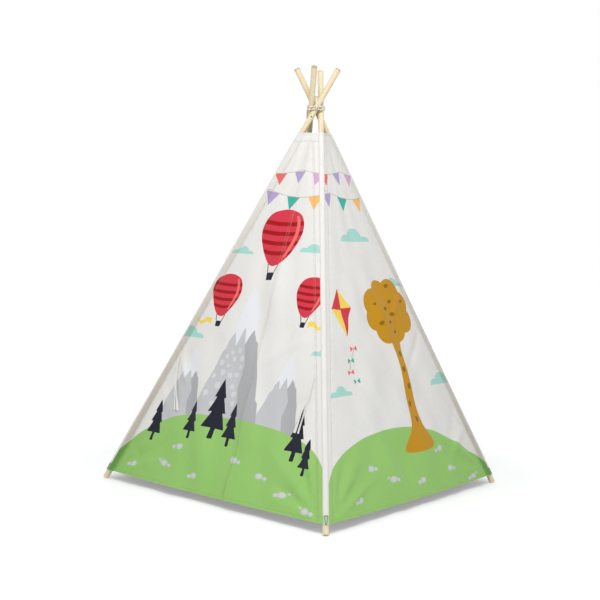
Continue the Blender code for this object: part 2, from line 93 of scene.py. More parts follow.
UP = np.array((0.0, 0.0, 1.0))
GAP = 0.0003
POLE_SPREAD = LOOP_BORE / 2 + 2 * ROPE_RADIUS + GAP + POLE_RADIUS
BASE_RADIUS = BASE_SIDE / math.sqrt(2)
LEAN = math.atan2(BASE_RADIUS, CROSSING_HEIGHT)
PANEL_TILT = math.atan2(BASE_SIDE / 2, CROSSING_HEIGHT)
CROSSING_ALONG = CROSSING_HEIGHT / math.cos(LEAN)
COVER_STOP = CROSSING_ALONG - COVER_STOP_BELOW
INK_REACH = 0.02

# Creases of a side: the degrees of the first one at a corner and from one to the next, and the
# ranges that lengths and half widths in metres and shares of the full depth are drawn from
CREASE_SEED = 40
CORNER_CREASES = 6
CORNER_CREASE_START = (0.02, 0.01)
CORNER_FAN = (14.0, 13.0)
CORNER_DRAWS = ((0.22, 0.46), (0.012, 0.026), (0.7, 1.0))
SEAM_CREASES = 4
SEAM_CREASE_GAP = 0.20
SEAM_SLOPES = (-62.0, -28.0)
SEAM_DRAWS = ((0.18, 0.38), (0.014, 0.030), (0.5, 0.9))
TOP_CREASE_GAP = 0.046
TOP_FAN = 9.0
CREASE_FREE = (0.020, 0.060)
CREASE_BEND = 0.12

# The other waves of a side, as lengths in metres, and the slack's as lengths across and up and turn
SIDE_PHASE = 1.7
FOLD_COUNT = 3.5
FOLD_DRIFT = 0.35
HEM_WAVE = 0.118
HEM_WANDER = 0.37
HEM_REACH = 0.055
PUCKER_WAVE = 0.031
PUCKER_WANDER = 0.047
PUCKER_PLACE = 0.003
PUCKER_REACH = 0.010
SLACK_WAVES = ((0.31, 0.43, 0.3), (0.17, 0.52, 1.9), (0.47, 0.23, 4.1), (0.12, 0.33, 2.6),
               (0.23, -0.29, 0.8))
STRAIGHT_REACH = 0.1


# Settings


def size(name, default, description):
    """Length in metres, as a setting."""
    return bpy.props.FloatProperty(name=name, default=default, description=description,
                                   subtype="DISTANCE", unit="LENGTH", precision=4)


def share(name, default, description):
    """Share from 0 to 1, as a setting."""
    return bpy.props.FloatProperty(name=name, default=default, description=description,
                                   min=0.0, max=1.0, subtype="FACTOR")


def power(name, default, description):
    """Power of a lamp in watts, as a setting."""
    return bpy.props.FloatProperty(name=name, default=default, description=description, min=0.0,
                                   subtype="POWER", unit="POWER")


def colour(name, default, description):
    """Colour as it looks on a screen, as a setting."""
    return bpy.props.FloatVectorProperty(name=name, default=default, description=description,
                                         size=3, min=0.0, max=1.0, subtype="COLOR_GAMMA")


class TeepeeCloth(bpy.types.PropertyGroup):
    cell: size("Cell", 0.0052, "Side of a cell of the cloth's mesh")
    thickness: size("Thickness", 0.0010, "Thickness of the canvas")
    edge_thickness: size("Edge thickness", 0.00045, "Thickness of the canvas under a corner tape")
    fold_depth: size("Fold depth", 0.0042, "Depth of the long folds down a side")
    crease: size("Crease", 0.0068, "Depth of the creases that run out of the corners and seams")
    hem_ripple: size("Hem ripple", 0.0024, "Depth of the short waves along the hem")
    hem_sag: size("Hem sag", 0.0050, "How far the hem hangs below its straight line")
    slack: size("Slack", 0.0044, "Depth of the soft unevenness all over a side")
    hem_width: size("Hem width", 0.012, "Width of the fold along the hem")
    hem_step: size("Hem step", 0.0007, "How far a folded edge stands proud")
    pucker: size("Pucker", 0.0007, "Depth of the short puckers that sewing pulls beside a seam")
    seam_groove: size("Seam groove", 0.0011, "Depth of the groove where a sleeve is sewn on")
    lap: size("Lap", 0.010, "How far the right flap runs under the left one")
    lap_drop: size("Lap drop", 0.0012, "How far under the left flap the right one lies")
    tape_overlap: size("Tape overlap", 0.0028, "How far a corner tape lies over each side")
    tape_thickness: size("Tape thickness", 0.0008, "Thickness of a corner tape")
    ribbon_width: size("Ribbon width", 0.0080, "Width of a tie")
    ribbon_length: size("Ribbon length", 0.200, "Length of a tie")
    ribbon_thickness: size("Ribbon thickness", 0.0007, "Thickness of a tie")


class TeepeeThread(bpy.types.PropertyGroup):
    pitch: size("Pitch", 0.0062, "Distance from stitch to stitch")
    length: size("Length", 0.0043, "Length of a stitch")
    width: size("Width", 0.0011, "Width of a stitch")
    colour: colour("Colour", (0.72, 0.65, 0.54), "Sewing thread")


class TeepeeInk(bpy.types.PropertyGroup):
    canvas: colour("Canvas", (0.925, 0.918, 0.900), "Unprinted cotton canvas")
    hill: colour("Hill", (0.600, 0.790, 0.435), "Light green of the hills")
    pebble: colour("Pebble", (0.770, 0.795, 0.775), "Pale pebbles")
    pebble_light: colour("Pebble light", (0.815, 0.830, 0.825), "Lighter middle of a pebble")
    tape: colour("Tape", (0.928, 0.920, 0.903), "White tape on the corners")
    tab: colour("Tab", (0.730, 0.820, 0.665), "Pale green tab at the foot of a tape")
    # Painted shade: the tab's dark rim stands for the shadow in the gap round its folded edge
    tab_edge_shade: colour("Tab fold", (0.200, 0.280, 0.150), "Dark folded edge of the tab")
    cloud: colour("Cloud", (0.665, 0.860, 0.820), "Pale teal of the clouds")
    rock: colour("Rock", (0.785, 0.785, 0.793), "Light grey of the rocks")
    rock_shade: colour("Rock shade", (0.695, 0.697, 0.705), "Darker grey of the rocks")
    spot: colour("Rock spot", (0.845, 0.845, 0.850), "Pale spots on the rocks")
    snow: colour("Snow", (0.915, 0.920, 0.930), "Snow on the peaks")
    red: colour("Red", (0.840, 0.215, 0.285), "Red of the balloons")
    dark_red: colour("Dark red", (0.640, 0.030, 0.050), "Stripes of the balloons")
    pink: colour("Light red", (0.945, 0.440, 0.430), "Light strip of the balloons")
    navy: colour("Navy", (0.115, 0.125, 0.180), "Trees and baskets")
    ochre: colour("Ochre", (0.785, 0.570, 0.090), "Golden tree")
    brown: colour("Brown", (0.560, 0.410, 0.060), "Bark and leaf spots")
    yellow: colour("Yellow", (0.975, 0.850, 0.360), "Streamers and kite")
    purple: colour("Purple", (0.700, 0.640, 0.815), "Pennants")
    lilac: colour("Lilac", (0.840, 0.670, 0.835), "Pennants")
    orange: colour("Orange", (0.975, 0.745, 0.430), "Pennants")
    coral: colour("Coral", (0.925, 0.435, 0.435), "Pennants")
    teal: colour("Teal", (0.245, 0.690, 0.630), "Pennants")
    string: colour("String", (0.700, 0.665, 0.590), "Strings of the pennants")


class TeepeeRope(bpy.types.PropertyGroup):
    strand_count: bpy.props.IntProperty(name="Strands", default=3, min=2, max=5,
                                        description="Strands that the rope is laid from")
    lay: size("Lay", 0.0125, "Length of rope in which a strand goes round once")
    groove: share("Groove", 0.17, "Depth of the groove between strands, as a share of the radius")
    colour: colour("Colour", (0.950, 0.915, 0.845), "Cotton rope")


class TeepeeStage(bpy.types.PropertyGroup):
    lens: bpy.props.FloatProperty(name="Lens", default=67.2, subtype="DISTANCE_CAMERA",
                                  description="Focal length in millimetres")
    daylight: bpy.props.FloatProperty(name="Daylight", default=0.58, min=0.0,
                                      description="Strength of the even light from all round")
    key: power("Key light", 52.0, "Power of the large lamp above the viewer")
    fill: power("Fill light", 8.0, "Power of the large lamp at the left")
    floor_glow: share("Floor glow", 0.26, "Light that the white floor adds for the camera")


# The frame's directions


def direction(azimuth_degrees):
    """Level unit vector at an azimuth, counted from +X towards +Y."""
    azimuth = math.radians(azimuth_degrees)
    return np.array((math.cos(azimuth), math.sin(azimuth), 0.0))


def unit(vectors):
    """Vectors at length 1, along their last axis."""
    return vectors / np.linalg.norm(vectors, axis=-1, keepdims=True)


def ramp(values, start, stop):
    """Smooth step from 0 at start to 1 at stop."""
    t = np.clip((values - start) / (stop - start), 0.0, 1.0)
    return t * t * (3 - 2 * t)


class Corner:
    """One corner: its pole's axis, and the directions that its pieces are laid out in."""

    def __init__(self, index):
        self.name = CORNERS[index]
        self.body = "pole_" + self.name
        self.outward = direction(CORNER_AZIMUTHS[index])
        self.sideways = np.cross(UP, self.outward)
        self.foot = self.outward * BASE_RADIUS + self.sideways * POLE_SPREAD
        self.crossing = UP * CROSSING_HEIGHT + self.sideways * POLE_SPREAD
        self.along = unit(self.crossing - self.foot)
        self.face = np.cross(self.sideways, self.along)

    def round(self, distance, angle, radius):
        """Points round the pole, from distances up it, angles from its outward face and radii."""
        out = np.cos(angle)[..., None] * self.face + np.sin(angle)[..., None] * self.sideways
        return self.foot + distance[..., None] * self.along + radius[..., None] * out


class Side:
    """One side of the cover, between two corners."""

    def __init__(self, index, corners):
        self.index = index
        self.name = SIDES[index]
        self.corners = (corners[index], corners[(index + 1) % 4])
        level = direction(SIDE_AZIMUTHS[index])
        self.across = np.cross(UP, level)
        self.normal = level * math.cos(PANEL_TILT) + UP * math.sin(PANEL_TILT)
        self.rise = UP * math.cos(PANEL_TILT) - level * math.sin(PANEL_TILT)
        self.edges = []
        for corner, sign in zip(self.corners, (1, -1)):
            beside = self.normal * SLEEVE_RADIUS + self.across * (sign * CLOTH_EDGE)
            self.edges.append([corner.foot + corner.along * d + beside
                               for d in (COVER_START, COVER_STOP)])
        middle = [(self.edges[0][i] + self.edges[1][i]) / 2 for i in (0, 1)]
        self.length = float(np.linalg.norm(middle[1] - middle[0]))
        self.start = float(middle[0][2]) / math.cos(PANEL_TILT)
        self.widths = [float(np.linalg.norm(self.edges[1][i] - self.edges[0][i])) for i in (0, 1)]
        self.seam = SEAM_INSET - CLOTH_EDGE
        self.creases = self.crease_list()

    def crease_list(self):
        """Seeded creases: start across and up, direction, length, half width and share of depth.

        Six run out of each lower corner, four out of each seam and three hang from the top edge,
        and the front has one more below its left tie.
        """
        rng = np.random.default_rng(CREASE_SEED + self.index)
        found = []
        for hand in (-1, 1):
            for step in range(CORNER_CREASES):
                angle = math.radians(CORNER_FAN[0] + CORNER_FAN[1] * step + rng.uniform(-4.0, 4.0))
                long, half, depth = (rng.uniform(*limits) for limits in CORNER_DRAWS)
                found.append((hand * (self.widths[0] / 2 - CORNER_CREASE_START[0]),
                              CORNER_CREASE_START[1], angle if hand < 0 else math.pi - angle,
                              long, half, (-1) ** step * depth))
            for step in range(SEAM_CREASES):
                up = (step + rng.uniform(0.6, 1.2)) * SEAM_CREASE_GAP
                angle = math.radians(rng.uniform(*SEAM_SLOPES))
                long, half = (rng.uniform(*limits) for limits in SEAM_DRAWS[:2])
                depth = rng.choice((-1.0, 1.0)) * rng.uniform(*SEAM_DRAWS[2])
                found.append((hand * self.width(up / self.length) / 2, up,
                              angle if hand < 0 else math.pi - angle, long, half, depth))
        for step in (-1, 0, 1):
            found.append((step * TOP_CREASE_GAP + rng.uniform(-0.010, 0.010), self.length - 0.01,
                          math.radians(-90.0 + step * TOP_FAN), rng.uniform(0.20, 0.34), 0.014,
                          -rng.uniform(0.20, 0.38)))
        if self.name == "front":
            tie = TIE_HEIGHT / math.cos(PANEL_TILT) - self.start
            found.append((-self.width(tie / self.length) / 2 + 0.05, tie, math.radians(-60.0),
                          0.16, 0.011, 0.9))
        return found

    def width(self, up):
        """Width between the two corners' edges, at shares of the way up."""
        return self.widths[0] + (self.widths[1] - self.widths[0]) * up

    def slit(self, up):
        """Place of the slit across the side, at shares of the way up."""
        offset = SLIT_OFFSETS[0] + (SLIT_OFFSETS[1] - SLIT_OFFSETS[0]) * up
        return self.width(up) / 2 + offset

    def flat(self, up, place):
        """Place on the flat cloth: across from the side's middle, and up the slope."""
        return place - self.width(up) / 2, self.start + self.length * up

    def relief(self, up, place, cloth):
        """How far the cloth stands off its flat side, in metres.

        It is the sum of the long folds, which fade to the top and to the seams, slightly bent
        creases with a bell-shaped section, short waves along the hem, puckers that sink in a bell
        beside each seam, and a sum of slow sines as slack, which fades to the top.
        """
        width = self.width(up)
        q = np.clip((place - self.seam) / (width - 2 * self.seam), 0.0, 1.0)
        inside = np.sin(np.pi * q)
        a, s = self.flat(up, place)
        above = s - self.start
        phase = SIDE_PHASE * self.index
        from_edge = np.minimum(place, width - place)
        total = cloth.fold_depth * (1 - up) * inside * np.sin(
            2 * np.pi * (FOLD_COUNT * q + FOLD_DRIFT * up))
        free = ramp(from_edge, *CREASE_FREE)
        for x, y, angle, long, half, depth in self.creases:
            along = (a - x) * math.cos(angle) + (above - y) * math.sin(angle)
            off = (above - y) * math.cos(angle) - (a - x) * math.sin(angle)
            off = off - CREASE_BEND * along ** 2
            fade = ramp(along, -0.02, 0.3 * long) * (1 - ramp(along, 0.35 * long, long))
            total = total + cloth.crease * depth * fade * free * np.exp(-(off / half) ** 2)
        wander = 0.9 * np.sin(2 * np.pi * a / HEM_WANDER)
        ripple = np.sin(2 * np.pi * a / HEM_WAVE + phase + wander)
        total = total + cloth.hem_ripple * np.exp(-above / HEM_REACH) * ripple * np.sqrt(inside)
        beside = from_edge - self.seam
        wander = 0.6 * np.sin(above / PUCKER_WANDER) + 7 * beside
        pull = np.sin(2 * np.pi * (above / PUCKER_WAVE + wander) + phase) - 1
        total = total + cloth.pucker * pull * np.exp(-((beside - PUCKER_PLACE) / PUCKER_REACH) ** 2)
        slack = sum(np.sin(2 * np.pi * (a / wide + s / tall) + turn + phase)
                    for wide, tall, turn in SLACK_WAVES)
        return total + cloth.slack * 0.5 * slack * inside * (1 - 0.9 * ramp(up, 0.3, 0.9))

    def straighten(self, up, place):
        """Shift that keeps the front's seams straight, because the flaps hang in them.

        At each seam it is the straight line between the seam's ends less the flat side there. It
        falls in a line to the corner's edge and in a smooth step into the flap.
        """
        shift = np.zeros(place.shape + (3,))
        if self.name != "front":
            return shift
        ends = np.array((0.0, 1.0))
        for hand in (0, 1):
            def seam_at(up):
                return self.flat_point(up, self.seam if hand == 0 else self.width(up) - self.seam)
            low, high = seam_at(ends)
            away = place if hand == 0 else self.width(up) - place
            weight = np.clip(away / self.seam, 0.0, 1.0) * (
                1 - ramp(away, self.seam, self.seam + STRAIGHT_REACH))
            shift += weight[..., None] * (low + (high - low) * up[..., None] - seam_at(up))
        return shift

    def flat_point(self, up, place):
        """Point of the flat side, on the line between the two edges."""
        left, right = (low + (high - low) * up[..., None] for low, high in self.edges)
        return left + unit(right - left) * np.broadcast_to(place, up.shape)[..., None]

    def surface(self, up, place, cloth, lift=0.0):
        """Points of the cloth's outer face, from shares of the way up and places across in metres.

        The flat point lies on the line between the two edges. It moves out by the relief and the
        lift, and down the slope by the hem's sag.
        """
        up, place = np.broadcast_arrays(up, place)
        width = self.width(up)
        q = np.clip((place - self.seam) / (width - 2 * self.seam), 0.0, 1.0)
        sag = cloth.hem_sag * 4 * q * (1 - q) * (1 - up) ** 8
        out = self.relief(up, place, cloth) + lift
        return self.flat_point(up, place) + self.straighten(up, place) + (
            self.normal * out[..., None] - self.rise * sag[..., None])


CORNER_LIST = [Corner(index) for index in range(4)]
SIDE_LIST = [Side(index, CORNER_LIST) for index in range(4)]
FRONT = SIDE_LIST[0]


# Meshes


def grid_quads(rows, columns, wrap=False):
    """Quads of a grid of rows × columns vertices, wound so that rows × columns faces out."""
    r = np.arange(rows - 1)[:, None]
    c = np.arange(columns if wrap else columns - 1)[None, :]
    after = (c + 1) % columns
    quads = np.stack(np.broadcast_arrays(r * columns + c, r * columns + after,
                                         (r + 1) * columns + after, (r + 1) * columns + c), -1)
    return quads.reshape(-1, 4)


def wall_quads(rows, columns, wrap=False):
    """Quads of a closed wall: outer grid, inner grid turned round, and the rims between them."""
    count = rows * columns
    outer = grid_quads(rows, columns, wrap)
    low = np.arange(columns + 1) % columns if wrap else np.arange(columns)
    left = np.arange(rows) * columns
    edges = [(low, False), (low + count - columns, True)]
    if not wrap:
        edges += [(left, True), (left + columns - 1, False)]
    rims = []
    for line, turned in edges:
        a, b = line[:-1], line[1:]
        if turned:
            a, b = b, a
        rims.append(np.stack((b, a, a + count, b + count), -1))
    return np.concatenate([outer, outer[:, ::-1] + count] + rims)


def fan_caps(rings, sides):
    """Triangles that close a tube's two ends, round two vertices that follow its rings."""
    around = np.arange(sides)
    after = (around + 1) % sides
    last, total = (rings - 1) * sides, rings * sides
    return np.concatenate((np.stack((after, around, np.full(sides, total)), -1),
                           np.stack((last + around, last + after, np.full(sides, total + 1)), -1)))


def make_mesh(name, points, faces, material, place=None, inks=None, masks=None, sharp=None):
    """Object from vertices and faces, with a UV map in metres and attributes on vertices."""
    mesh = bpy.data.meshes.new(name)
    mesh.from_pydata(points.tolist(), [], faces)
    if place is not None:
        corners = np.empty(len(mesh.loops), dtype=np.int32)
        mesh.loops.foreach_get("vertex_index", corners)
        layer = mesh.uv_layers.new(name="Cloth")
        layer.data.foreach_set("uv", place[corners].astype(np.float32).ravel())
    for kind, field, table in (("FLOAT_COLOR", "color", inks), ("FLOAT", "value", masks)):
        for key, values in (table or {}).items():
            attribute = mesh.attributes.new(key, kind, "POINT")
            attribute.data.foreach_set(field, values.astype(np.float32).ravel())
    mesh.validate()
    mesh.shade_smooth()
    if sharp:
        mesh.set_sharp_from_angle(angle=math.radians(sharp))
    mesh.materials.append(material)
    made = bpy.data.objects.new(name, mesh)
    bpy.context.scene.collection.objects.link(made)
    return made


def make_wall(name, outer, inner, place, material, wrap=False, flip=False, inks=None, masks=None):
    """Object from a wall's outer and inner face, each a grid of points over the same UV map."""
    points = np.vstack((outer.reshape(-1, 3), inner.reshape(-1, 3)))
    quads = wall_quads(*outer.shape[:2], wrap)
    if flip:
        quads = quads[:, ::-1]
    place = place.reshape(-1, 2)
    return make_mesh(name, points, quads.tolist(), material, np.vstack((place, place)), inks,
                     masks, sharp=40.0)


def spread(width, left_marks, right_marks, cell):
    """Places across a strip, rows × columns: fixed marks beside each edge, even steps between."""
    width = np.asarray(width)[:, None]
    left, right = (np.asarray(marks)[None, :] * np.minimum(1.0, 0.45 * width / marks[-1])
                   for marks in (left_marks, right_marks))
    right = width - right[:, ::-1]
    count = max(2, int(math.ceil(float(width.max()) / cell)))
    t = np.linspace(0.0, 1.0, count + 2)[None, 1:-1]
    middle = left[:, -1:] + (right[:, :1] - left[:, -1:]) * t
    return np.hstack((left, middle, right))


def run_along(path):
    """Distance along a path at each of its points."""
    steps = np.linalg.norm(np.diff(path, axis=0), axis=1)
    return np.concatenate(([0.0], np.cumsum(steps)))


def points_at(path, run, at):
    """Points of a path at distances along it."""
    return np.stack([np.interp(at, run, path[:, i]) for i in range(3)], -1)


def cubic(p0, p1, p2, p3, t):
    """Curve from p1 to p2 at shares t, along p0 to p2 at its start and p1 to p3 at its end."""
    return 0.5 * (2 * p1 + (p2 - p0) * t + (2 * p0 - 5 * p1 + 4 * p2 - p3) * t ** 2
                  + (3 * p1 - p0 - 3 * p2 + p3) * t ** 3)


def resampled(points, step):
    """Smooth path through points: a cubic through each four of them, at even steps along it."""
    padded = np.vstack((2 * points[0] - points[1], points, 2 * points[-1] - points[-2]))
    t = np.linspace(0.0, 1.0, 12, endpoint=False)[:, None, None]
    curve = cubic(*(padded[i:len(padded) - 3 + i][None] for i in range(4)), t)
    dense = np.vstack((curve.transpose(1, 0, 2).reshape(-1, 3), points[-1:]))
    run = run_along(dense)
    return points_at(dense, run, np.linspace(0.0, run[-1], max(4, int(run[-1] / step))))


def tube(path, outward, radius, sides, twist, lobes, groove):
    """Closed tube along a path: a ring at each point, square to the path, and a fan at each end.

    The ring's radius is radius × (1 - groove × (1 - |cos(lobes / 2 × angle)|)), with the angle
    turned by twist radians for each metre of path, so a rope shows its strands. Close to an end
    it falls as a square root, so that the end is blunt.
    """
    tangent = unit(np.gradient(path, axis=0))
    u = unit(outward - np.sum(outward * tangent, axis=1, keepdims=True) * tangent)
    v = np.cross(tangent, u)
    length = run_along(path)
    angle = np.linspace(0.0, 2 * np.pi, sides, endpoint=False)
    turned = angle[None, :] - twist * length[:, None]
    size_here = radius * (1 - groove * (1 - np.abs(np.cos(lobes / 2 * turned))))
    close = np.minimum(length, length[-1] - length)
    size_here = size_here * np.sqrt(np.clip(0.30 + close[:, None] / radius, 0.0, 1.0))
    rings = path[:, None] + size_here[..., None] * (
        np.cos(angle)[None, :, None] * u[:, None] + np.sin(angle)[None, :, None] * v[:, None])
    points = np.vstack((rings.reshape(-1, 3), path[:1], path[-1:]))
    place = np.stack(np.broadcast_arrays(turned * radius, length[:, None]), -1).reshape(-1, 2)
    place = np.vstack((place, place[:1], place[-1:]))
    faces = grid_quads(len(path), sides, wrap=True).tolist() + fan_caps(len(path), sides).tolist()
    return points, faces, place


STITCH_RINGS = ((-0.72, 0.80), (-0.25, 1.0), (0.25, 1.0), (0.72, 0.80))
STITCH_SIDES = 6


def stitches(path, facing, thread):
    """Vertex and face arrays of a row of stitches, each a short rounded bar along a path."""
    run = run_along(path)
    count = max(1, int(run[-1] / thread.pitch))
    at = (np.arange(count) + 0.5) * run[-1] / count
    centre = points_at(path, run, at)
    tangent = unit(points_at(path, run, at + 0.002) - points_at(path, run, at - 0.002))
    side = unit(np.cross(tangent, np.broadcast_to(facing, centre.shape)))
    facing = np.cross(side, tangent)
    angle = np.linspace(0.0, 2 * np.pi, STITCH_SIDES, endpoint=False)
    along, wide = np.array(STITCH_RINGS).T[:, :, None, None]
    ring = (along * thread.length / 2 * np.array((1.0, 0.0, 0.0)) + wide * thread.width / 2
            * np.stack((0 * angle, -np.cos(angle), np.sin(angle) * 0.8), -1)[None])
    ends = np.array(((-thread.length / 2, 0.0, 0.0), (thread.length / 2, 0.0, 0.0)))
    shape = np.vstack((ring.reshape(-1, 3), ends))
    axes = np.stack((tangent, side, facing), 1)
    points = centre[:, None] + thread.width * 0.2 * facing[:, None] + (
        np.einsum("vi,nij->nvj", shape, axes))
    quads = grid_quads(len(STITCH_RINGS), STITCH_SIDES, wrap=True)
    caps = fan_caps(len(STITCH_RINGS), STITCH_SIDES)
    shift = np.arange(count)[:, None, None] * len(shape)
    return (points.reshape(-1, 3), (quads[None] + shift).reshape(-1, 4),
            (caps[None] + shift).reshape(-1, 3))


def make_stitches(name, rows, thread):
    """One object from several rows of stitches, each row a path and the way it faces."""
    points, faces, start = [], [], 0
    for path, facing in rows:
        more, quads, caps = stitches(path, facing, thread)
        points.append(more)
        faces += (quads + start).tolist() + (caps + start).tolist()
        start += len(more)
    finish_here = known("sewing_thread", thread_material, thread)
    return make_mesh(name, np.vstack(points), faces, finish_here)


# The print


def linear(shown):
    """Screen colour to linear light."""
    shown = np.array(shown)
    return np.where(shown <= 0.04045, shown / 12.92, ((shown + 0.055) / 1.055) ** 2.4)


def oval(x, y, wide, tall=None, count=36):
    """Outline of an oval about a centre."""
    angle = np.linspace(0.0, 2 * np.pi, count, endpoint=False)
    return np.stack((x + wide * np.cos(angle), y + (tall or wide) * np.sin(angle)), -1)


def rounded(points, per=8):
    """Smooth closed outline through points, as a cubic through each four of them in turn."""
    points = np.array(points, float)
    t = np.linspace(0.0, 1.0, per, endpoint=False)[:, None, None]
    curve = cubic(*(np.roll(points, 1 - i, axis=0)[None] for i in range(4)), t)
    return curve.transpose(1, 0, 2).reshape(-1, 2)


def far_from(points, outline):
    """Distance of each point to an outline, negative inside it."""
    a = outline[None]
    edge = (np.roll(outline, -1, axis=0) - outline)[None]
    rel = points[:, None] - a
    t = np.clip(np.sum(rel * edge, -1) / np.maximum(np.sum(edge * edge, -1), 1e-12), 0.0, 1.0)
    gap = rel - t[..., None] * edge
    distance = np.sqrt(np.sum(gap * gap, -1).min(axis=1))
    y = points[:, 1:2]
    b = a + edge
    crossed = (a[..., 1] > y) != (b[..., 1] > y)
    tall = np.where(np.abs(edge[..., 1]) < 1e-12, 1e-12, edge[..., 1])
    x = a[..., 0] + (y - a[..., 1]) * edge[..., 0] / tall
    inside = np.sum(crossed & (points[:, :1] < x), axis=1) % 2 == 1
    return np.where(inside, -distance, distance)


def printed(points, layer, ink):
    """Red, green, blue and cover of one layer of the print, for each point of the flat cloth.

    The colour is that of the nearest shape. The cover is 0.5 on the shape's outline, and rises
    inwards and falls outwards by 0.5 in INK_REACH metres, so the material cuts it off at 0.5.
    """
    best = np.full(len(points), INK_REACH)
    out = np.zeros((len(points), 4))
    out[:, :3] = linear(ink.canvas)
    for name, outline in layer:
        low, high = outline.min(axis=0) - INK_REACH, outline.max(axis=0) + INK_REACH
        near = np.flatnonzero(np.all((points > low) & (points < high), axis=1))
        if not len(near):
            continue
        distance = far_from(points[near], outline)
        closer = distance < best[near]
        best[near[closer]] = distance[closer]
        out[near[closer], :3] = linear(getattr(ink, name))
    out[:, 3] = 0.5 - best / (2 * INK_REACH)
    return out


# Rows of pennants: height of their string up the slope, its sag, a swag's width and its start
STRING_ROWS = ((1.288, 0.016, 0.235, 0.02), (1.207, 0.030, 0.300, -0.11))
# Their colours in turn, the distance from one pennant to the next, and how far they hang
PENNANT_ROWS = ((("purple", "lilac", "orange", "coral"), 0.0860, 0.050),
                (("teal", "orange", "coral", "purple"), 0.1000, 0.055))


def string_height(x, row):
    """Height of a row of pennants' string: swags that hang from points a swag's width apart."""
    height, sag, wide, start = row
    t = ((x - start) / wide) % 1.0
    return height - sag * 4 * t * (1 - t)


def string_field(points):
    """Signed distance to the nearest string. It keeps its sign between the two rows."""
    upper = points[:, 1] - string_height(points[:, 0], STRING_ROWS[0])
    lower = string_height(points[:, 0], STRING_ROWS[1]) - points[:, 1]
    return np.where(np.abs(upper) < np.abs(lower), upper, lower)


def pennants(shift):
    """Pennants of both rows: triangles that hang from the strings, in turning colours."""
    shapes = []
    for row, (names, step, drop) in zip(STRING_ROWS, PENNANT_ROWS):
        for count in range(-4, 5):
            x = count * step + shift
            half = step * 0.31
            left, right = string_height(x - half, row), string_height(x + half, row)
            lean = (right - left) / (2 * half)
            tip = (x + lean * drop, (left + right) / 2 - drop)
            shapes.append((names[count % len(names)],
                           np.array(((x - half, left), (x + half, right), tip))))
    return shapes


def cloud(x, y, wide):
    """Cloud of three bumps on a straight base."""
    across = np.linspace(0.0, 1.0, 60)
    bumps = ((0.18, 0.18, 0.13), (0.50, 0.27, 0.27), (0.82, 0.18, 0.10))
    top = np.zeros_like(across)
    for middle, half, tall in bumps:
        inside = np.clip(1 - ((across - middle) / half) ** 2, 0.0, 1.0)
        top = np.maximum(top, tall * np.sqrt(inside))
    outline = np.stack((x + wide * (across - 0.5), y + wide * top), -1)
    return np.vstack((outline, ((x + wide / 2, y - 0.002), (x - wide / 2, y - 0.002))))


def hill(points):
    """Hill from a row of points, closed well below the hem."""
    top = rounded(points)[:len(points) * 8 - 8]
    keep = top[:, 1] > -0.2
    return np.vstack((top[keep], ((0.8, -0.3), (-0.8, -0.3))))


# Right half of a balloon's envelope and the lower edges of its bands, as shares of its height
ENVELOPE = ((0.74, 0.40), (1.0, 0.12), (0.70, -0.22), (0.24, -0.46))
BAND_EDGES = (-0.27, -0.10, 0.07, 0.24)


def balloon(x, y, tall):
    """A hot-air balloon's envelope and basket, its bands, its light strip and its ropes."""
    wide = tall * 0.42
    half_outline = [(wide * dx, y + tall * dy) for dx, dy in ENVELOPE]
    envelope = rounded([(x, y + tall * 0.50)] + [(x + dx, at) for dx, at in half_outline]
                       + [(x - dx, at) for dx, at in half_outline[::-1]])
    near_middle = np.abs(envelope[:, 1] - y - 0.02 * tall) < 0.38 * tall
    edge = envelope[(envelope[:, 0] > x) & near_middle]
    bands = []
    angle = np.linspace(-1.0, 1.0, 15)
    for low in BAND_EDGES:
        lines = []
        for at in (y + tall * low, y + tall * (low + 0.070)):
            half = np.interp(at, edge[::-1, 1], edge[::-1, 0]) - x
            lines.append(np.stack((x + half * angle, at - tall * 0.035 * (1 - angle ** 2)), -1))
        bands.append(("dark_red", np.vstack((lines[0], lines[1][::-1]))))
    strip = np.vstack([np.stack((x + part * (run[:, 0] - x), run[:, 1]), -1)
                       for part, run in ((0.80, edge), (0.62, edge[::-1]))])
    top, half = y - tall * 0.60, tall * 0.085
    basket = np.array(((x - half, top), (x + half, top), (x + half * 0.8, top - tall * 0.13),
                       (x - half * 0.8, top - tall * 0.13)))
    ropes = []
    for sign in (-1, 1):
        ropes.append(("brown", np.array((
            (x + sign * half * 0.70, top - 0.002), (x + sign * (half * 0.70 + 0.005), top),
            (x + sign * (wide * 0.26 + 0.005), y - tall * 0.44),
            (x + sign * wide * 0.26, y - tall * 0.44)))))
    return [("red", envelope), ("navy", basket)], bands, [("pink", strip)], ropes


def peak(x, base, wide, tall, lean=0.0):
    """A rocky peak: its light body, its shaded right face, and a zigzag cap of snow."""
    top = base + tall

    def at(dx, dy):
        return x + wide * dx + lean * dy, base + tall * dy

    left = [at(-1.0, -0.2), at(-0.70, 0.22), at(-0.64, 0.24), at(-0.40, 0.56), at(-0.33, 0.58),
            at(-0.10, 0.93), (x + lean - wide * 0.05, top - 0.004)]
    right = [(x + lean + wide * 0.05, top - 0.003), at(0.13, 0.90), at(0.31, 0.66), at(0.38, 0.64),
             at(0.66, 0.28), at(0.72, 0.26), at(1.0, -0.2)]
    split = [at(0.26, -0.2), at(0.34, 0.14), at(0.16, 0.34), at(0.22, 0.50), at(0.06, 0.66),
             at(0.10, 0.80)]
    snow = [at(-0.30, 0.63), at(-0.10, 0.93), (x + lean - wide * 0.05, top - 0.004),
            (x + lean + wide * 0.05, top - 0.003), at(0.13, 0.90), at(0.31, 0.66), at(0.20, 0.73),
            at(0.10, 0.62), at(0.0, 0.74), at(-0.12, 0.60), at(-0.19, 0.70)]
    return ("rock", np.array(left + right)), ("rock_shade", np.array(right + split)), (
        "snow", np.array(snow))


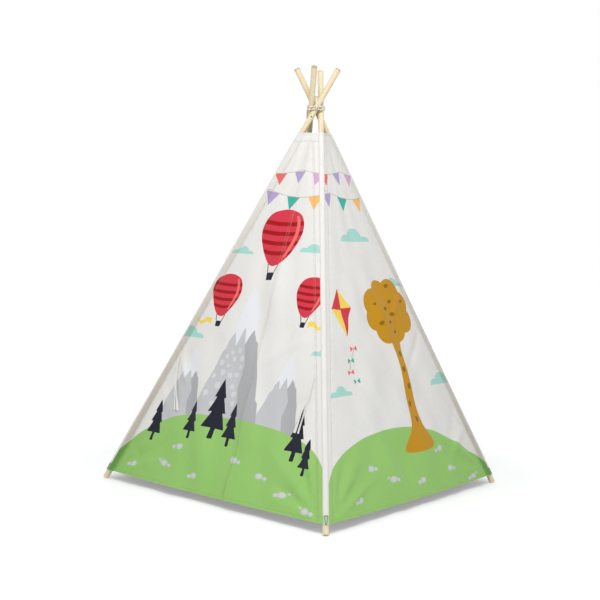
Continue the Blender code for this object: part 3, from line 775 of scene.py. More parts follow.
def pine(x, base, tall):
    """Pine of three tiers on a short trunk."""
    half = tall * 0.24
    right = [(0.050 * tall, -0.01), (0.044 * tall, 0.14 * tall), (half, 0.13 * tall),
             (half * 0.45, 0.42 * tall), (half * 0.78, 0.40 * tall), (half * 0.30, 0.68 * tall),
             (half * 0.52, 0.66 * tall), (0.0, tall)]
    left = [(-dx, dy) for dx, dy in right[-2::-1]]
    return np.array([(x + dx, base + dy) for dx, dy in right + left])


def scatter(seed, count, low, high, small, large, apart):
    """Seeded places and sizes of ovals in a box, no two nearer than apart."""
    rng = np.random.default_rng(seed)
    found = []
    for _ in range(count * 30):
        x, y = rng.uniform(low, high)
        r = rng.uniform(small, large)
        if all(math.hypot(x - px, y - py) > r + pr + apart for px, py, pr in found):
            found.append((x, y, r))
        if len(found) == count:
            break
    return found


# A cluster's pebbles: their places from its middle and their half widths
PEBBLES = ((0.0, 0.0, 0.0175), (-0.027, -0.005, 0.0110), (0.023, 0.009, 0.0075))


def pebbles(places):
    """Clusters of two or three uneven pebbles side by side on the grass, and their middles."""
    shapes, middles = [], []
    rng = np.random.default_rng(11)
    turn = np.arange(8) * math.pi / 4
    for count, (x, y) in enumerate(places):
        flip = 1 - 2 * (count % 2)
        for dx, dy, wide in PEBBLES[:2 + count % 3 % 2]:
            far = wide * rng.uniform(0.86, 1.10, 8)
            ring = np.stack((far * np.cos(turn), far * 0.66 * np.sin(turn)), -1)
            spot = np.array((x + flip * dx, y + dy))
            shapes.append(("pebble", rounded(spot + ring, 4)))
            if wide > 0.008:
                middles.append(("pebble_light", rounded(spot + ring * 0.60 + (0.001, 0.001), 4)))
    return shapes, middles


# The golden tree's trunk, crown and bark spots, in metres from the middle of its foot
TRUNK = ((0.075, -0.05), (0.040, 0.035), (0.026, 0.16), (0.022, 0.30), (0.040, 0.41),
         (-0.036, 0.41), (-0.016, 0.30), (-0.022, 0.16), (-0.042, 0.035), (-0.095, -0.05))
CROWN_MIDDLE = (0.0, 0.475, 0.090)
BARK_SPOTS = ((0.012, 0.06), (-0.006, 0.12), (0.010, 0.185), (0.001, 0.25), (0.008, 0.31))


def golden_tree(x, base):
    """Layers of a tall golden tree: a bent trunk, a crown of round clumps, and leaf spots."""
    trunk = rounded([(x + dx, base + dy) for dx, dy in TRUNK])
    clumps = [CROWN_MIDDLE]
    for step in range(8):
        turn = math.pi * (step / 4 + 0.1)
        clumps.append((0.092 * math.cos(turn), 0.478 + 0.080 * math.sin(turn),
                       0.050 + 0.007 * (step % 2)))
    crown = [("ochre", oval(x + dx, base + dy, r, r * 0.95)) for dx, dy, r in clumps]
    low, high = np.array((x - 0.12, base + 0.36)), np.array((x + 0.12, base + 0.60))
    leaves = []
    for px, py, r in scatter(7, 17, low, high, 0.010, 0.016, 0.012):
        if any(math.hypot(px - x - dx, py - base - dy) < cr - 0.020 for dx, dy, cr in clumps):
            leaves.append(("brown", rounded(((px - r, py), (px, py + r * 0.62),
                                             (px + r, py + r * 0.2), (px, py - r * 0.5)), 5)))
    bark = [("brown", oval(x + dx, base + dy, 0.009, 0.012, 16)) for dx, dy in BARK_SPOTS]
    return [("ochre", trunk)] + crown, leaves + bark


def kite(x, y):
    """Layers of a diamond kite in red and yellow: its quarters, bows, and its tail's string."""
    top, low = (x, y + 0.085), (x - 0.006, y - 0.095)
    left, right = (x - 0.058, y + 0.012), (x + 0.058, y + 0.012)
    t = np.linspace(0.0, 1.0, 25)
    tail = np.stack((x - 0.006 + 0.020 * np.sin(6.5 * t), y - 0.093 - 0.165 * t), -1)
    aside = np.array((0.0012, 0.0))
    string = np.vstack((tail + aside, (tail - aside)[::-1]))
    detail = [("yellow", np.array((top, right, (x, y + 0.012)))),
              ("yellow", np.array(((x, y + 0.006), left, low)))]
    bows = []
    for step, name in zip((7, 13, 19, 24), ("coral", "teal", "coral", "teal")):
        bx, by = tail[step]
        bows.append((name, np.array(((bx - 0.018, by + 0.012), (bx + 0.018, by - 0.009),
                                     (bx + 0.018, by + 0.012), (bx - 0.018, by - 0.009)))))
    return [("red", np.array((top, right, low, left)))], detail, bows, [("brown", string)]


def streamer(x, y, long, flip=1):
    """Wavy streamer that flies from a point."""
    t = np.linspace(0.0, 1.0, 17)
    wave = 0.010 * np.sin(2 * np.pi * t * 1.1) * (0.3 + t)
    half = 0.011 * (1 - 0.55 * t)
    upper, lower = (np.stack((x + flip * long * t, y + wave + sign * half), -1) for sign in (1, -1))
    return ("yellow", np.vstack((upper, lower[::-1])))


# How many layers a print has, and which of them holds the hill
INK_LAYERS = 8
HILL_LAYER = 5


def landscape(hills, clouds, peaks, balloons, trees, stones, shift, more):
    """Layers of one side's print, from the farthest to the nearest.

    They are the clouds, far peaks and ropes, the far peaks' shaded faces, their snow with the
    near peak and the balloons, shades and bands, snow and light strips, the hill, what stands on
    it with the pennants, and the pebbles' middles. Each list in more adds to its layer.
    """
    layers = [[] for _ in range(INK_LAYERS)]
    layers[0] += [("cloud", cloud(*spot)) for spot in clouds]
    layers[HILL_LAYER].append(("hill", hill(hills)))
    for count, values in enumerate(peaks):
        first = 2 if count == len(peaks) - 1 else 0
        for number, shape in enumerate(peak(*values)):
            layers[first + number].append(shape)
    for values in balloons:
        body, bands, strip, ropes = balloon(*values)
        for number, shapes in ((0, ropes), (2, body), (3, bands), (4, strip)):
            layers[number] += shapes
    stones, lights = pebbles(stones)
    layers[6] += stones + [("navy", pine(*values)) for values in trees] + pennants(shift)
    layers[7] += lights
    for number, shapes in more.items():
        layers[number] += shapes
    return layers


def front_print():
    """The front: three peaks, three balloons and pines."""
    near_peak = (-0.030, 0.24, 0.205, 0.57, -0.012)
    outline = peak(*near_peak)[0][1]
    spots = [("spot", oval(x, y, r, r, 18)) for x, y, r in
             scatter(3, 24, np.array((-0.150, 0.34)), np.array((-0.005, 0.58)), 0.007, 0.014, 0.008)
             if far_from(np.array(((x, y),)), outline)[0] < -0.016]
    return landscape(
        hills=((-0.75, -0.30), (-0.60, 0.02), (-0.50, 0.120), (-0.36, 0.240), (-0.20, 0.305),
               (0.02, 0.320), (0.22, 0.312), (0.37, 0.282), (0.455, 0.225), (0.52, 0.12),
               (0.61, -0.05), (0.75, -0.30)),
        clouds=((-0.310, 0.600, 0.160), (0.170, 0.965, 0.120), (0.345, 0.590, 0.110),
                (-0.155, 0.945, 0.105)),
        peaks=((-0.250, 0.24, 0.135, 0.32), (0.205, 0.24, 0.145, 0.35, 0.01), near_peak),
        balloons=((0.005, 1.013, 0.228), (-0.180, 0.775, 0.170), (0.215, 0.795, 0.155)),
        trees=((-0.345, 0.195, 0.150), (-0.065, 0.245, 0.215), (0.020, 0.230, 0.150),
               (0.325, 0.225, 0.175), (-0.170, 0.230, 0.135), (0.385, 0.185, 0.120)),
        stones=((-0.395, 0.085), (-0.250, 0.115), (-0.085, 0.095), (0.205, 0.145), (0.330, 0.100),
                (0.075, 0.180), (-0.195, 0.185), (0.440, 0.065)),
        shift=0.010,
        more={4: spots + [streamer(-0.215, 0.668, 0.075, -1), streamer(0.240, 0.695, 0.070)]})


def right_print():
    """The right side: a golden tree and a kite."""
    tree, leaves = golden_tree(0.105, 0.255)
    body, detail, bows, string = kite(-0.185, 0.745)
    return landscape(
        hills=((-0.75, -0.30), (-0.60, 0.02), (-0.51, 0.130), (-0.42, 0.225), (-0.27, 0.280),
               (-0.08, 0.300), (0.10, 0.284), (0.26, 0.236), (0.40, 0.160), (0.50, 0.095),
               (0.62, -0.02), (0.75, -0.30)),
        clouds=((0.005, 1.010, 0.190), (0.345, 0.430, 0.165), (-0.300, 0.445, 0.130),
                (0.185, 0.830, 0.120)),
        peaks=(), balloons=(), trees=(),
        stones=((-0.330, 0.085), (-0.130, 0.125), (0.060, 0.095), (0.250, 0.110), (0.395, 0.055),
                (-0.235, 0.180), (0.215, 0.190)),
        shift=-0.014, more={1: string, 2: body, 3: detail, 4: bows, 6: tree, 7: leaves})


def back_print():
    """The back: two peaks, one balloon and pines."""
    return landscape(
        hills=((-0.75, -0.30), (-0.58, 0.0), (-0.49, 0.10), (-0.36, 0.215), (-0.15, 0.290),
               (0.10, 0.295), (0.30, 0.255), (0.43, 0.165), (0.52, 0.070), (0.62, -0.02),
               (0.75, -0.30)),
        clouds=((0.170, 0.865, 0.150), (-0.300, 0.560, 0.150), (0.030, 1.080, 0.120)),
        peaks=((-0.180, 0.23, 0.125, 0.24), (0.050, 0.23, 0.185, 0.40, 0.01)),
        balloons=((-0.080, 0.890, 0.190),),
        trees=((-0.320, 0.205, 0.120), (0.300, 0.215, 0.150), (0.235, 0.235, 0.115)),
        stones=((-0.340, 0.090), (-0.060, 0.130), (0.190, 0.105), (0.360, 0.070)),
        shift=0.020, more={})


def left_print():
    """The left side: a golden tree and pines."""
    tree, leaves = golden_tree(-0.080, 0.260)
    return landscape(
        hills=((-0.75, -0.30), (-0.60, 0.0), (-0.49, 0.10), (-0.34, 0.205), (-0.12, 0.290),
               (0.12, 0.285), (0.30, 0.240), (0.43, 0.150), (0.52, 0.065), (0.62, -0.02),
               (0.75, -0.30)),
        clouds=((0.120, 0.940, 0.165), (-0.285, 0.610, 0.140), (0.270, 0.560, 0.150)),
        peaks=(), balloons=(), trees=((0.150, 0.255, 0.150), (0.215, 0.240, 0.115)),
        stones=((-0.350, 0.080), (-0.180, 0.135), (0.110, 0.120), (0.300, 0.085)),
        shift=0.0, more={6: tree, 7: leaves})


PRINTS = {"front": front_print, "right": right_print, "back": back_print, "left": left_print}


# Materials

# Width of a thread in the weave, in metres
CANVAS_PITCH = 0.0011
TAPE_PITCH = 0.0008
RIBBON_PITCH = 0.0006
# Half the width of the pennants' string
STRING_HALF = 0.0010
# Colours that the pole's shadow multiplies the canvas by, and the green ink on it
SHADOW_TINT = (0.64, 0.59, 0.52)
SHADOW_ON_GREEN = (0.50, 0.85, 0.50)
# Pine: gap between growth rings in metres, how far the pith lies aside of a pole's axis and how far
# towards its outward face at each corner, and the colours as they look on a screen
RING_GAP = 0.0026
PITH_ASIDE = 0.004
PITHS = (0.016, -0.012, 0.021, -0.018)
PINE_PALE = (0.960, 0.905, 0.770)
PINE_LATE = (0.835, 0.745, 0.565)
PINE_FIBRE = (0.740, 0.645, 0.465)
# Painted shade at the rounded rim and end of each pole
PINE_END_SHADE = (0.60, 0.50, 0.36)


def add(tree, kind, inputs=(), **settings):
    """Node with its settings, and its inputs set to values or linked from sockets."""
    made = tree.nodes.new(kind)
    for name, value in settings.items():
        setattr(made, name, value)
    for socket, value in dict(inputs).items():
        if isinstance(value, bpy.types.NodeSocket):
            tree.links.new(value, made.inputs[socket])
        else:
            made.inputs[socket].default_value = value
    return made


def calc(tree, operation, *values):
    """Output of a Math node."""
    return add(tree, "ShaderNodeMath", dict(enumerate(values)), operation=operation).outputs[0]


def mix(tree, factor, a, b, blend="MIX"):
    """Output of a colour Mix node. Colours are linear."""
    values = {0: factor, 6: a, 7: b}
    for key in (6, 7):
        if not isinstance(values[key], bpy.types.NodeSocket):
            values[key] = (*values[key], 1.0)
    return add(tree, "ShaderNodeMix", values, data_type="RGBA", blend_type=blend).outputs[2]


def between(tree, value, low, high, new_low=0.0, new_high=1.0):
    """Output of a Map Range node: low to high becomes new_low to new_high."""
    values = dict(enumerate((value, low, high, new_low, new_high)))
    return add(tree, "ShaderNodeMapRange", values).outputs[0]


def noise(tree, vector, scale=1.0, detail=2.0):
    """Output of a Noise Texture node, about 0.5."""
    return add(tree, "ShaderNodeTexNoise",
               {"Vector": vector, "Scale": scale, "Detail": detail}).outputs[0]


def scaled(tree, vector, scale, turn=(0.0, 0.0, 0.0)):
    """Coordinates scaled on each axis and then turned."""
    return add(tree, "ShaderNodeMapping",
               {"Vector": vector, "Rotation": turn, "Scale": scale}).outputs[0]


def attribute(tree, name):
    """Outputs of an attribute on the piece's vertices."""
    return add(tree, "ShaderNodeAttribute", attribute_name=name,
               attribute_type="GEOMETRY").outputs


def object_place(tree):
    """Object coordinates, which are the teepee's own."""
    return add(tree, "ShaderNodeTexCoord").outputs["Object"]


def cloth_place(tree):
    """Place on the flat cloth in metres, from the piece's UV map."""
    return add(tree, "ShaderNodeUVMap", uv_map="Cloth").outputs[0]


def seen_directly(tree):
    """Mask that is 1 for what the camera sees, also in a mirror or through glass."""
    path = add(tree, "ShaderNodeLightPath").outputs
    mirrored = calc(tree, "MAXIMUM", path["Is Glossy Ray"], path["Is Transmission Ray"])
    return calc(tree, "MAXIMUM", path["Is Camera Ray"], mirrored)


def group(name, values, outputs, build):
    """Shader node group, built once: from Place and named values to named masks."""
    made = bpy.data.node_groups.get(name)
    if made:
        return made
    made = bpy.data.node_groups.new(name, "ShaderNodeTree")
    made.interface.new_socket("Place", in_out="INPUT", socket_type="NodeSocketVector")
    for label, default in values.items():
        socket = made.interface.new_socket(label, in_out="INPUT", socket_type="NodeSocketFloat")
        socket.default_value = default
    for label in outputs:
        made.interface.new_socket(label, in_out="OUTPUT", socket_type="NodeSocketFloat")
    entry, leave = made.nodes.new("NodeGroupInput"), made.nodes.new("NodeGroupOutput")
    for label, value in build(made, entry.outputs).items():
        made.links.new(value, leave.inputs[label])
    return made


def placed(tree, made, **values):
    """Outputs of a node group placed in a tree with its own values."""
    return add(tree, "ShaderNodeGroup", values, node_tree=made).outputs


def weave_group():
    """Plain weave: threads across and along pass over each other in turn, with uneven slubs."""
    def build(tree, entry):
        parts = add(tree, "ShaderNodeSeparateXYZ", {0: entry["Place"]}).outputs
        turn = calc(tree, "DIVIDE", math.pi, entry["Pitch"])
        x, y = (calc(tree, "SINE", calc(tree, "MULTIPLY", parts[i], turn)) for i in (0, 1))
        over = calc(tree, "GREATER_THAN", calc(tree, "MULTIPLY", x, y), 0.0)
        height = add(tree, "ShaderNodeMix", {0: over, 2: calc(tree, "ABSOLUTE", x),
                                             3: calc(tree, "ABSOLUTE", y)}).outputs[0]
        tones = [noise(tree, scaled(tree, entry["Place"], scale))
                 for scale in ((60.0, 900.0, 1.0), (900.0, 60.0, 1.0))]
        slubs = calc(tree, "MULTIPLY", calc(tree, "ADD", *tones), 0.5)
        return {"Height": calc(tree, "ADD", calc(tree, "MULTIPLY", height, 0.6), slubs),
                "Slubs": slubs}
    return group("Plain weave", {"Pitch": CANVAS_PITCH}, ("Height", "Slubs"), build)


def tone_group():
    """Slow unevenness of colour in three sizes, from 0 to 1 about 0.5."""
    def build(tree, entry):
        parts = [calc(tree, "MULTIPLY", noise(tree, entry["Place"], scale, 3.0), part)
                 for scale, part in ((4.0, 0.5), (17.0, 0.3), (90.0, 0.2))]
        return {"Value": calc(tree, "ADD", calc(tree, "ADD", parts[0], parts[1]), parts[2])}
    return group("Uneven tone", {}, ("Value",), build)


def finish(name, roughness, specular=0.3):
    """New material and its tree, with its shader's even values set."""
    made = bpy.data.materials.new(name)
    made.use_nodes = True
    shader = made.node_tree.nodes["Principled BSDF"]
    shader.inputs["Roughness"].default_value = roughness
    shader.inputs["Specular IOR Level"].default_value = specular
    return made, made.node_tree, shader


def coloured_and_raised(tree, shader, tone, height, distance, strength=1.0):
    """Colour, and bump from a height in metres, into the shader."""
    tree.links.new(tone, shader.inputs["Base Color"])
    bump = add(tree, "ShaderNodeBump",
               {"Height": height, "Distance": distance, "Strength": strength})
    tree.links.new(bump.outputs[0], shader.inputs["Normal"])


def cloth_material(name, base, pitch, print_layers=0, ink=None, sheen=0.15):
    """Woven cotton, plain or printed.

    The base colour varies by a slow unevenness. Each print layer is mixed over it where its cover
    is above a half, then the pennants' string, and painted shade of the poles seen through the
    cloth darkens the sleeves. Last, the slubs of the weave lighten and darken it all.
    """
    made, tree, shader = finish(name, 0.86, 0.22)
    shader.inputs["Sheen Weight"].default_value = sheen
    shader.inputs["Sheen Roughness"].default_value = 0.45
    woven = placed(tree, weave_group(), Place=cloth_place(tree), Pitch=pitch)
    uneven = placed(tree, tone_group(), Place=object_place(tree))["Value"]
    base = linear(base)
    tone = mix(tree, between(tree, uneven, 0.35, 0.65), base * 0.955, base)
    covers = []
    for layer in range(print_layers):
        inked = attribute(tree, "print_%d" % layer)
        covers.append(calc(tree, "GREATER_THAN", inked["Alpha"], 0.5))
        tone = mix(tree, covers[-1], tone, inked["Color"])
    if ink:
        from_string = calc(tree, "ABSOLUTE", attribute(tree, "string")["Fac"])
        drawn = calc(tree, "LESS_THAN", from_string, STRING_HALF)
        tone = mix(tree, drawn, tone, linear(ink.string))
        patchy = between(tree, uneven, 0.40, 0.60, 0.78, 1.0)
        shadow = calc(tree, "MULTIPLY", attribute(tree, "pole_shadow")["Fac"], patchy)
        tone = mix(tree, shadow, tone, SHADOW_TINT, "MULTIPLY")
        green = calc(tree, "MULTIPLY", covers[HILL_LAYER], shadow)
        tone = mix(tree, green, tone, SHADOW_ON_GREEN, "MULTIPLY")
    slubs = between(tree, woven["Slubs"], 0.3, 0.7, 0.93, 1.03)
    grey = add(tree, "ShaderNodeCombineColor", {0: slubs, 1: slubs, 2: slubs}).outputs[0]
    tone = mix(tree, 1.0, tone, grey, "MULTIPLY")
    coloured_and_raised(tree, shader, tone, woven["Height"], 0.00012, 0.6)
    tree.links.new(between(tree, uneven, 0.3, 0.7, 0.80, 0.92), shader.inputs["Roughness"])
    return made


def thread_material(thread):
    """Sewing thread, with fine fibres."""
    made, tree, shader = finish("sewing_thread", 0.6)
    fibres = noise(tree, object_place(tree), 900.0)
    base = linear(thread.colour)
    coloured_and_raised(tree, shader, mix(tree, fibres, base * 0.82, base * 1.08), fibres, 0.0001)
    return made


def rope_material(rope):
    """Cotton rope: fine fibres along the strands, and painted shade in the grooves between them."""
    made, tree, shader = finish("cotton_rope", 0.88, 0.2)
    shader.inputs["Sheen Weight"].default_value = 0.3
    fibres = noise(tree, scaled(tree, cloth_place(tree), (5200.0, 700.0, 1.0), (0.0, 0.0, 0.6)),
                   detail=3.0)
    base = linear(rope.colour)
    tone = mix(tree, between(tree, fibres, 0.3, 0.7), base * 0.80, base * 1.05)
    # Painted shade in the grooves between the strands
    tone = mix(tree, attribute(tree, "groove")["Fac"], tone, base * np.array((0.62, 0.56, 0.47)))
    coloured_and_raised(tree, shader, tone, fibres, 0.0002)
    return made


def pine_group():
    """Pine: growth rings about a pith beside the pole, drawn out along it, and fine fibres."""
    def build(tree, entry):
        parts = add(tree, "ShaderNodeSeparateXYZ", {0: entry["Place"]}).outputs
        wander = noise(tree, scaled(tree, entry["Place"], (9.0, 9.0, 1.6)))
        x = calc(tree, "SUBTRACT", parts[0], entry["Pith"])
        y = calc(tree, "ADD", parts[1], PITH_ASIDE)
        far = calc(tree, "SQRT", calc(tree, "ADD", calc(tree, "MULTIPLY", x, x),
                                      calc(tree, "MULTIPLY", y, y)))
        rings = calc(tree, "ADD", calc(tree, "DIVIDE", far, RING_GAP),
                     calc(tree, "MULTIPLY", wander, 7.0))
        late = calc(tree, "POWER", calc(tree, "FRACT", rings), 2.2)
        fibre = noise(tree, scaled(tree, entry["Place"], (1500.0, 1500.0, 22.0)), detail=3.0)
        return {"Late wood": late, "Fibre": fibre, "Along": parts[2]}
    return group("Pine grain", {"Pith": 0.02}, ("Late wood", "Fibre", "Along"), build)


def pole_place(tree, corner):
    """Object coordinates turned so that Z runs up this corner's pole from the floor."""
    turn = Matrix(np.stack((corner.face, corner.sideways, corner.along), 1).tolist())
    return add(tree, "ShaderNodeMapping", {
        "Vector": object_place(tree), "Location": corner.foot.tolist(),
        "Rotation": turn.to_euler()}, vector_type="TEXTURE").outputs[0]


def pine_material(corner, pith):
    """Smooth sanded pine, with painted shade that darkens the rounded rim and the end of each pole.
    """
    made, tree, shader = finish("pine_" + corner.name, 0.5, 0.4)
    grain = placed(tree, pine_group(), Place=pole_place(tree, corner), Pith=pith)
    tone = mix(tree, calc(tree, "MULTIPLY", grain["Late wood"], 0.66), linear(PINE_PALE),
               linear(PINE_LATE))
    tone = mix(tree, between(tree, grain["Fibre"], 0.35, 0.65, 0.0, 0.30), tone,
               linear(PINE_FIBRE))
    half = POLE_LENGTH / 2
    from_middle = calc(tree, "ABSOLUTE", calc(tree, "SUBTRACT", grain["Along"], half))
    # Painted shade over the last few millimetres and the end of the pole
    tip = between(tree, from_middle, half - 0.0040, half + 0.0010, 0.0, 0.60)
    height = calc(tree, "ADD", grain["Fibre"], grain["Late wood"])
    coloured_and_raised(tree, shader, mix(tree, tip, tone, linear(PINE_END_SHADE)), height, 0.0001, 0.5)
    rough = between(tree, grain["Fibre"], 0.3, 0.7, 0.42, 0.58)
    tree.links.new(rough, shader.inputs["Roughness"])
    return made


def metal_material(corner):
    """Aluminium tube with fine turning marks round it."""
    made, tree, shader = finish("aluminium_" + corner.name, 0.35, 0.5)
    shader.inputs["Metallic"].default_value = 1.0
    marks = noise(tree, scaled(tree, pole_place(tree, corner), (20.0, 20.0, 4000.0)))
    tone = mix(tree, marks, (0.60, 0.61, 0.62), (0.80, 0.81, 0.82))
    coloured_and_raised(tree, shader, tone, marks, 0.00003)
    tree.links.new(between(tree, marks, 0.3, 0.7, 0.26, 0.44), shader.inputs["Roughness"])
    return made


def floor_material(stage):
    """White floor that keeps the object's shadow and is plain white where it is lit."""
    made, tree, shader = finish("white_floor", 0.9, 0.0)
    solid = object_place(tree)
    tone = mix(tree, noise(tree, solid, 3.0), (0.90, 0.90, 0.90), (0.92, 0.92, 0.92))
    tree.links.new(tone, shader.inputs["Base Color"])
    far = add(tree, "ShaderNodeVectorMath", {0: solid}, operation="LENGTH").outputs["Value"]
    level = between(tree, far, 0.9, 3.0, stage.floor_glow, 0.80)
    glow = add(tree, "ShaderNodeEmission", {
        "Color": (1.0, 1.0, 1.0, 1.0),
        "Strength": calc(tree, "MULTIPLY", seen_directly(tree), level)})
    both = add(tree, "ShaderNodeAddShader", {0: shader.outputs[0], 1: glow.outputs[0]})
    tree.links.new(both.outputs[0], tree.nodes["Material Output"].inputs["Surface"])
    return made


def known(name, build, *values, **named):
    """Material by name, made at its first use."""
    return bpy.data.materials.get(name) or build(*values, **named)


# Pieces


def canvas_finish(name, ink, *more):
    """Canvas material by name, plain or printed."""
    return known(name, cloth_material, name, ink.canvas, CANVAS_PITCH, *more)


def stand_for(piece, body, node):
    """Make a piece ride on a body and stand for a node of the frame, which it hides."""
    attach(piece, body)
    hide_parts(node)


def fold_with_pole(piece, corner, side, inset=0.0):
    """Give a piece its own copy of its mesh; it is not squashed as the poles fold.

    It works out which way lies beside the pole and halves the inset on a side's second corner, but
    uses neither.
    """
    beside = unit(np.cross(corner.along, side.normal))
    if corner is side.corners[1]:
        beside = -beside
        inset /= 2
    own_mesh(piece)


# Distances from a piece's lower and upper end at which its mesh has rows, close at a fold's step
HEM_ROWS = np.array((0.0, 0.0010, 0.0035, 0.0080, 0.0112, 0.0124, 0.0136, 0.0165))
CUT_ROWS = np.array((0.0, 0.0015, 0.0035))
TOP_ROWS = np.array((0.0082, 0.0072, 0.0062, 0.0030, 0.0008, 0.0))
# Distances from a piece's left or right end at which its mesh has columns
EDGE_MARKS = (0.0, 0.0030, 0.0066, 0.0095, 0.0130, 0.0180, 0.0205, 0.0225, 0.0240, 0.0250, 0.0260,
              0.0270, 0.0280, 0.0295, 0.0330)
STRIP_MARKS = EDGE_MARKS[:10]
FREE_MARKS = (0.0, 0.0012, 0.0050, 0.0090, 0.0112, 0.0126, 0.0160)
PLAIN_MARKS = (0.0, 0.0030)
SEAM_MARKS = (0.0, 0.0010, 0.0020, 0.0035, 0.0070)
LAP_MARKS = (0.0, 0.0050, 0.0096, 0.0100, 0.0112, 0.0126, 0.0146, 0.0180)
# Where a fold's step comes down: past the hem, below the top edge, and in from the free edge, where
# it is only a share as high. Then how far the groove at a seam reaches.
HEM_STEP_RUN = 0.0016
TOP_STEP = (0.0068, 0.0080)
FREE_STEP = (0.0125, 0.0112)
FREE_STEP_SHARE = 0.4
SEAM_GROOVE_REACH = 0.0016
# How strongly the painted shade of a pole, seen through the cloth, shows at the left and right end
# of each side, as a share, and how that share falls with the height up the slope
POLE_SHOWS = {"front": (1.0, 0.0), "right": (0.0, 1.0), "back": (0.7, 0.7), "left": (0.7, 0.7)}
SHADOW_HEIGHTS = ((0.2, 0.8, 1.35), (1.0, 0.66, 0.16))
SHADOW_START = 0.019
SHADOW_RUN = 0.012
SHADOW_LOW_RUN = 0.014
SHADOW_REACH = 0.09
# The sleeve's faces, a strip laid over it, and half the angle that it turns round the pole
SLEEVE_OUTER = 0.01175
SLEEVE_INNER = 0.01135
TAPE_RADIUS = SLEEVE_RADIUS + GAP
LEVEL_SHARE = math.cos(PANEL_TILT) / math.sqrt(2)
HALF_CORNER = math.atan2(LEVEL_SHARE, LEVEL_SHARE * math.cos(LEAN)
                         + math.sin(PANEL_TILT) * math.sin(LEAN))
# Half widths of a tab from its point to the tape, and the width of the painted shade along its
# folded edge
TAB_HALF_WIDTHS = (0.0021, 0.00425, 0.00625)
TAB_EDGE_SHADE_WIDTH = 0.0019
# The ribbons' colour, and for each pair its hand, its inset from the seam and its sideways drift
RIBBON_COLOUR = (0.915, 0.905, 0.880)
RIBBON_PLACES = (("left", 0.010, 0.058), ("right", 0.002, -0.004))
# Distances of the rows of stitches from the tape's edge, the seam, the hem, the top edge and a
# free edge, and of the rows of tacks up the pole
TACK_DISTANCES = (1.382, 1.399)
TAPE_STITCH = 0.0022
SEAM_STITCH = 0.0030
HEM_STITCH = 0.0100
TOP_STITCH = 0.0055
FREE_STITCHES = (0.0028, 0.0098)


def up_steps(side, start, stop, cell, low_rows=HEM_ROWS):
    """Shares of the way up for a piece's rows: close together at a folded edge, even above it."""
    first = start * side.length + low_rows
    last = stop * side.length - TOP_ROWS
    count = max(1, int((last[0] - first[-1]) / cell))
    even = np.linspace(first[-1], last[0], count + 1)[1:-1]
    return np.concatenate((first, even, last)) / side.length


def fold_lift(side, up, places, cloth, edge):
    """How far a piece's outer face stands off the side's surface, in metres.

    It stands proud along the folded hem, top edge and free edge, and sinks in a bell at the sewn
    seam. The right flap's lap sinks under the left flap.
    """
    rows = np.broadcast_to(up[:, None], places.shape)
    slit = side.slit(rows)
    lift = np.zeros_like(places)
    if up[0] == 0.0:
        above = (rows - up[0]) * side.length
        lift += cloth.hem_step * (1 - ramp(above, cloth.hem_width, cloth.hem_width + HEM_STEP_RUN))
    if up[-1] == 1.0:
        lift += cloth.hem_step * (1 - ramp((1.0 - rows) * side.length, *TOP_STEP))
    if edge == "free":
        lift += cloth.hem_step * FREE_STEP_SHARE * ramp(
            places, slit - FREE_STEP[0], slit - FREE_STEP[1])
    if edge == "lap":
        lift -= cloth.lap_drop * (1 - ramp(places, slit - 0.0002, slit + 0.0026))
    from_seam = np.minimum(np.abs(places - side.seam),
                           np.abs(side.width(rows) - side.seam - places))
    return lift - cloth.seam_groove * np.exp(-(from_seam / SEAM_GROOVE_REACH) ** 2)


def pole_shadow(side, places, width, s):
    """Painted shade of the pole in each sleeve, seen through the cloth, at places across a side and
    s up the slope.

    It is full over the sleeve, falls beyond it in a smooth step that is longer at the foot, and
    fades far into the side. All of it falls with the height.
    """
    shadow = np.zeros_like(places)
    stop = SEAM_INSET + SHADOW_RUN + SHADOW_LOW_RUN * (1 - ramp(s, 0.0, 0.5))
    for away, strength in zip((places, width - places), POLE_SHOWS[side.name]):
        from_pole = away + CLOTH_EDGE
        shadow += strength * (0.84 * (1 - ramp(from_pole, SHADOW_START, stop))
                              + 0.20 * np.exp(-from_pole / SHADOW_REACH))
    return shadow * np.interp(s, *SHADOW_HEIGHTS)


def cut_cloth(name, side, up, start, stop, left_marks, right_marks, body, context, edge=None):
    """One piece of a side's cloth between two places across it, as a closed wall with its print.

    The outer face is the side's surface with the fold's lift. The inner face lies inside it by
    the thickness, which is less under the tape. Returns the piece, its cut size and its area.
    """
    cloth, ink = context.scene.teepee_cloth, context.scene.teepee_ink
    places = start[:, None] + spread(stop - start, left_marks, right_marks, cloth.cell)
    rows = np.broadcast_to(up[:, None], places.shape)
    width = side.width(rows)
    lift = fold_lift(side, up, places, cloth, edge)
    under_tape = 1 - ramp(np.minimum(places, width - places), 0.0, 0.004)
    thick = cloth.thickness - (cloth.thickness - cloth.edge_thickness) * under_tape
    outer = side.surface(rows, places, cloth, lift)
    inner = side.surface(rows, places, cloth, np.minimum(lift, 0.0) - thick)
    a, s = side.flat(rows, places)
    flat = np.stack((a, s), -1).reshape(-1, 2)
    inks = {}
    for layer, shapes in enumerate(PRINTS[side.name]()):
        face = printed(flat, shapes, ink)
        inks["print_%d" % layer] = np.vstack((face, face * (1.0, 1.0, 1.0, 0.0)))
    shadow = pole_shadow(side, places, width, s).reshape(-1)
    masks = {"string": np.concatenate((string_field(flat), np.ones(len(flat)))),
             "pole_shadow": np.concatenate((shadow, np.zeros(len(flat))))}
    made = make_wall(name + "_cloth", outer, inner, flat,
                     canvas_finish("printed_canvas", ink, INK_LAYERS, ink), inks=inks, masks=masks)
    stand_for(made, body, name)
    widths = places[:, -1] - places[:, 0]
    cut = (round(float(widths.max()), 3), round(float((up[-1] - up[0]) * side.length), 3))
    area = float(np.sum((widths[1:] + widths[:-1]) / 2 * np.diff(up)) * side.length)
    return made, cut, area


def level_line(side, up, start, stop, cloth, lift=0.0, count=120):
    """Path across a side's outer face at one share of the way up."""
    return side.surface(np.full(count, up), np.linspace(start, stop, count), cloth, lift)


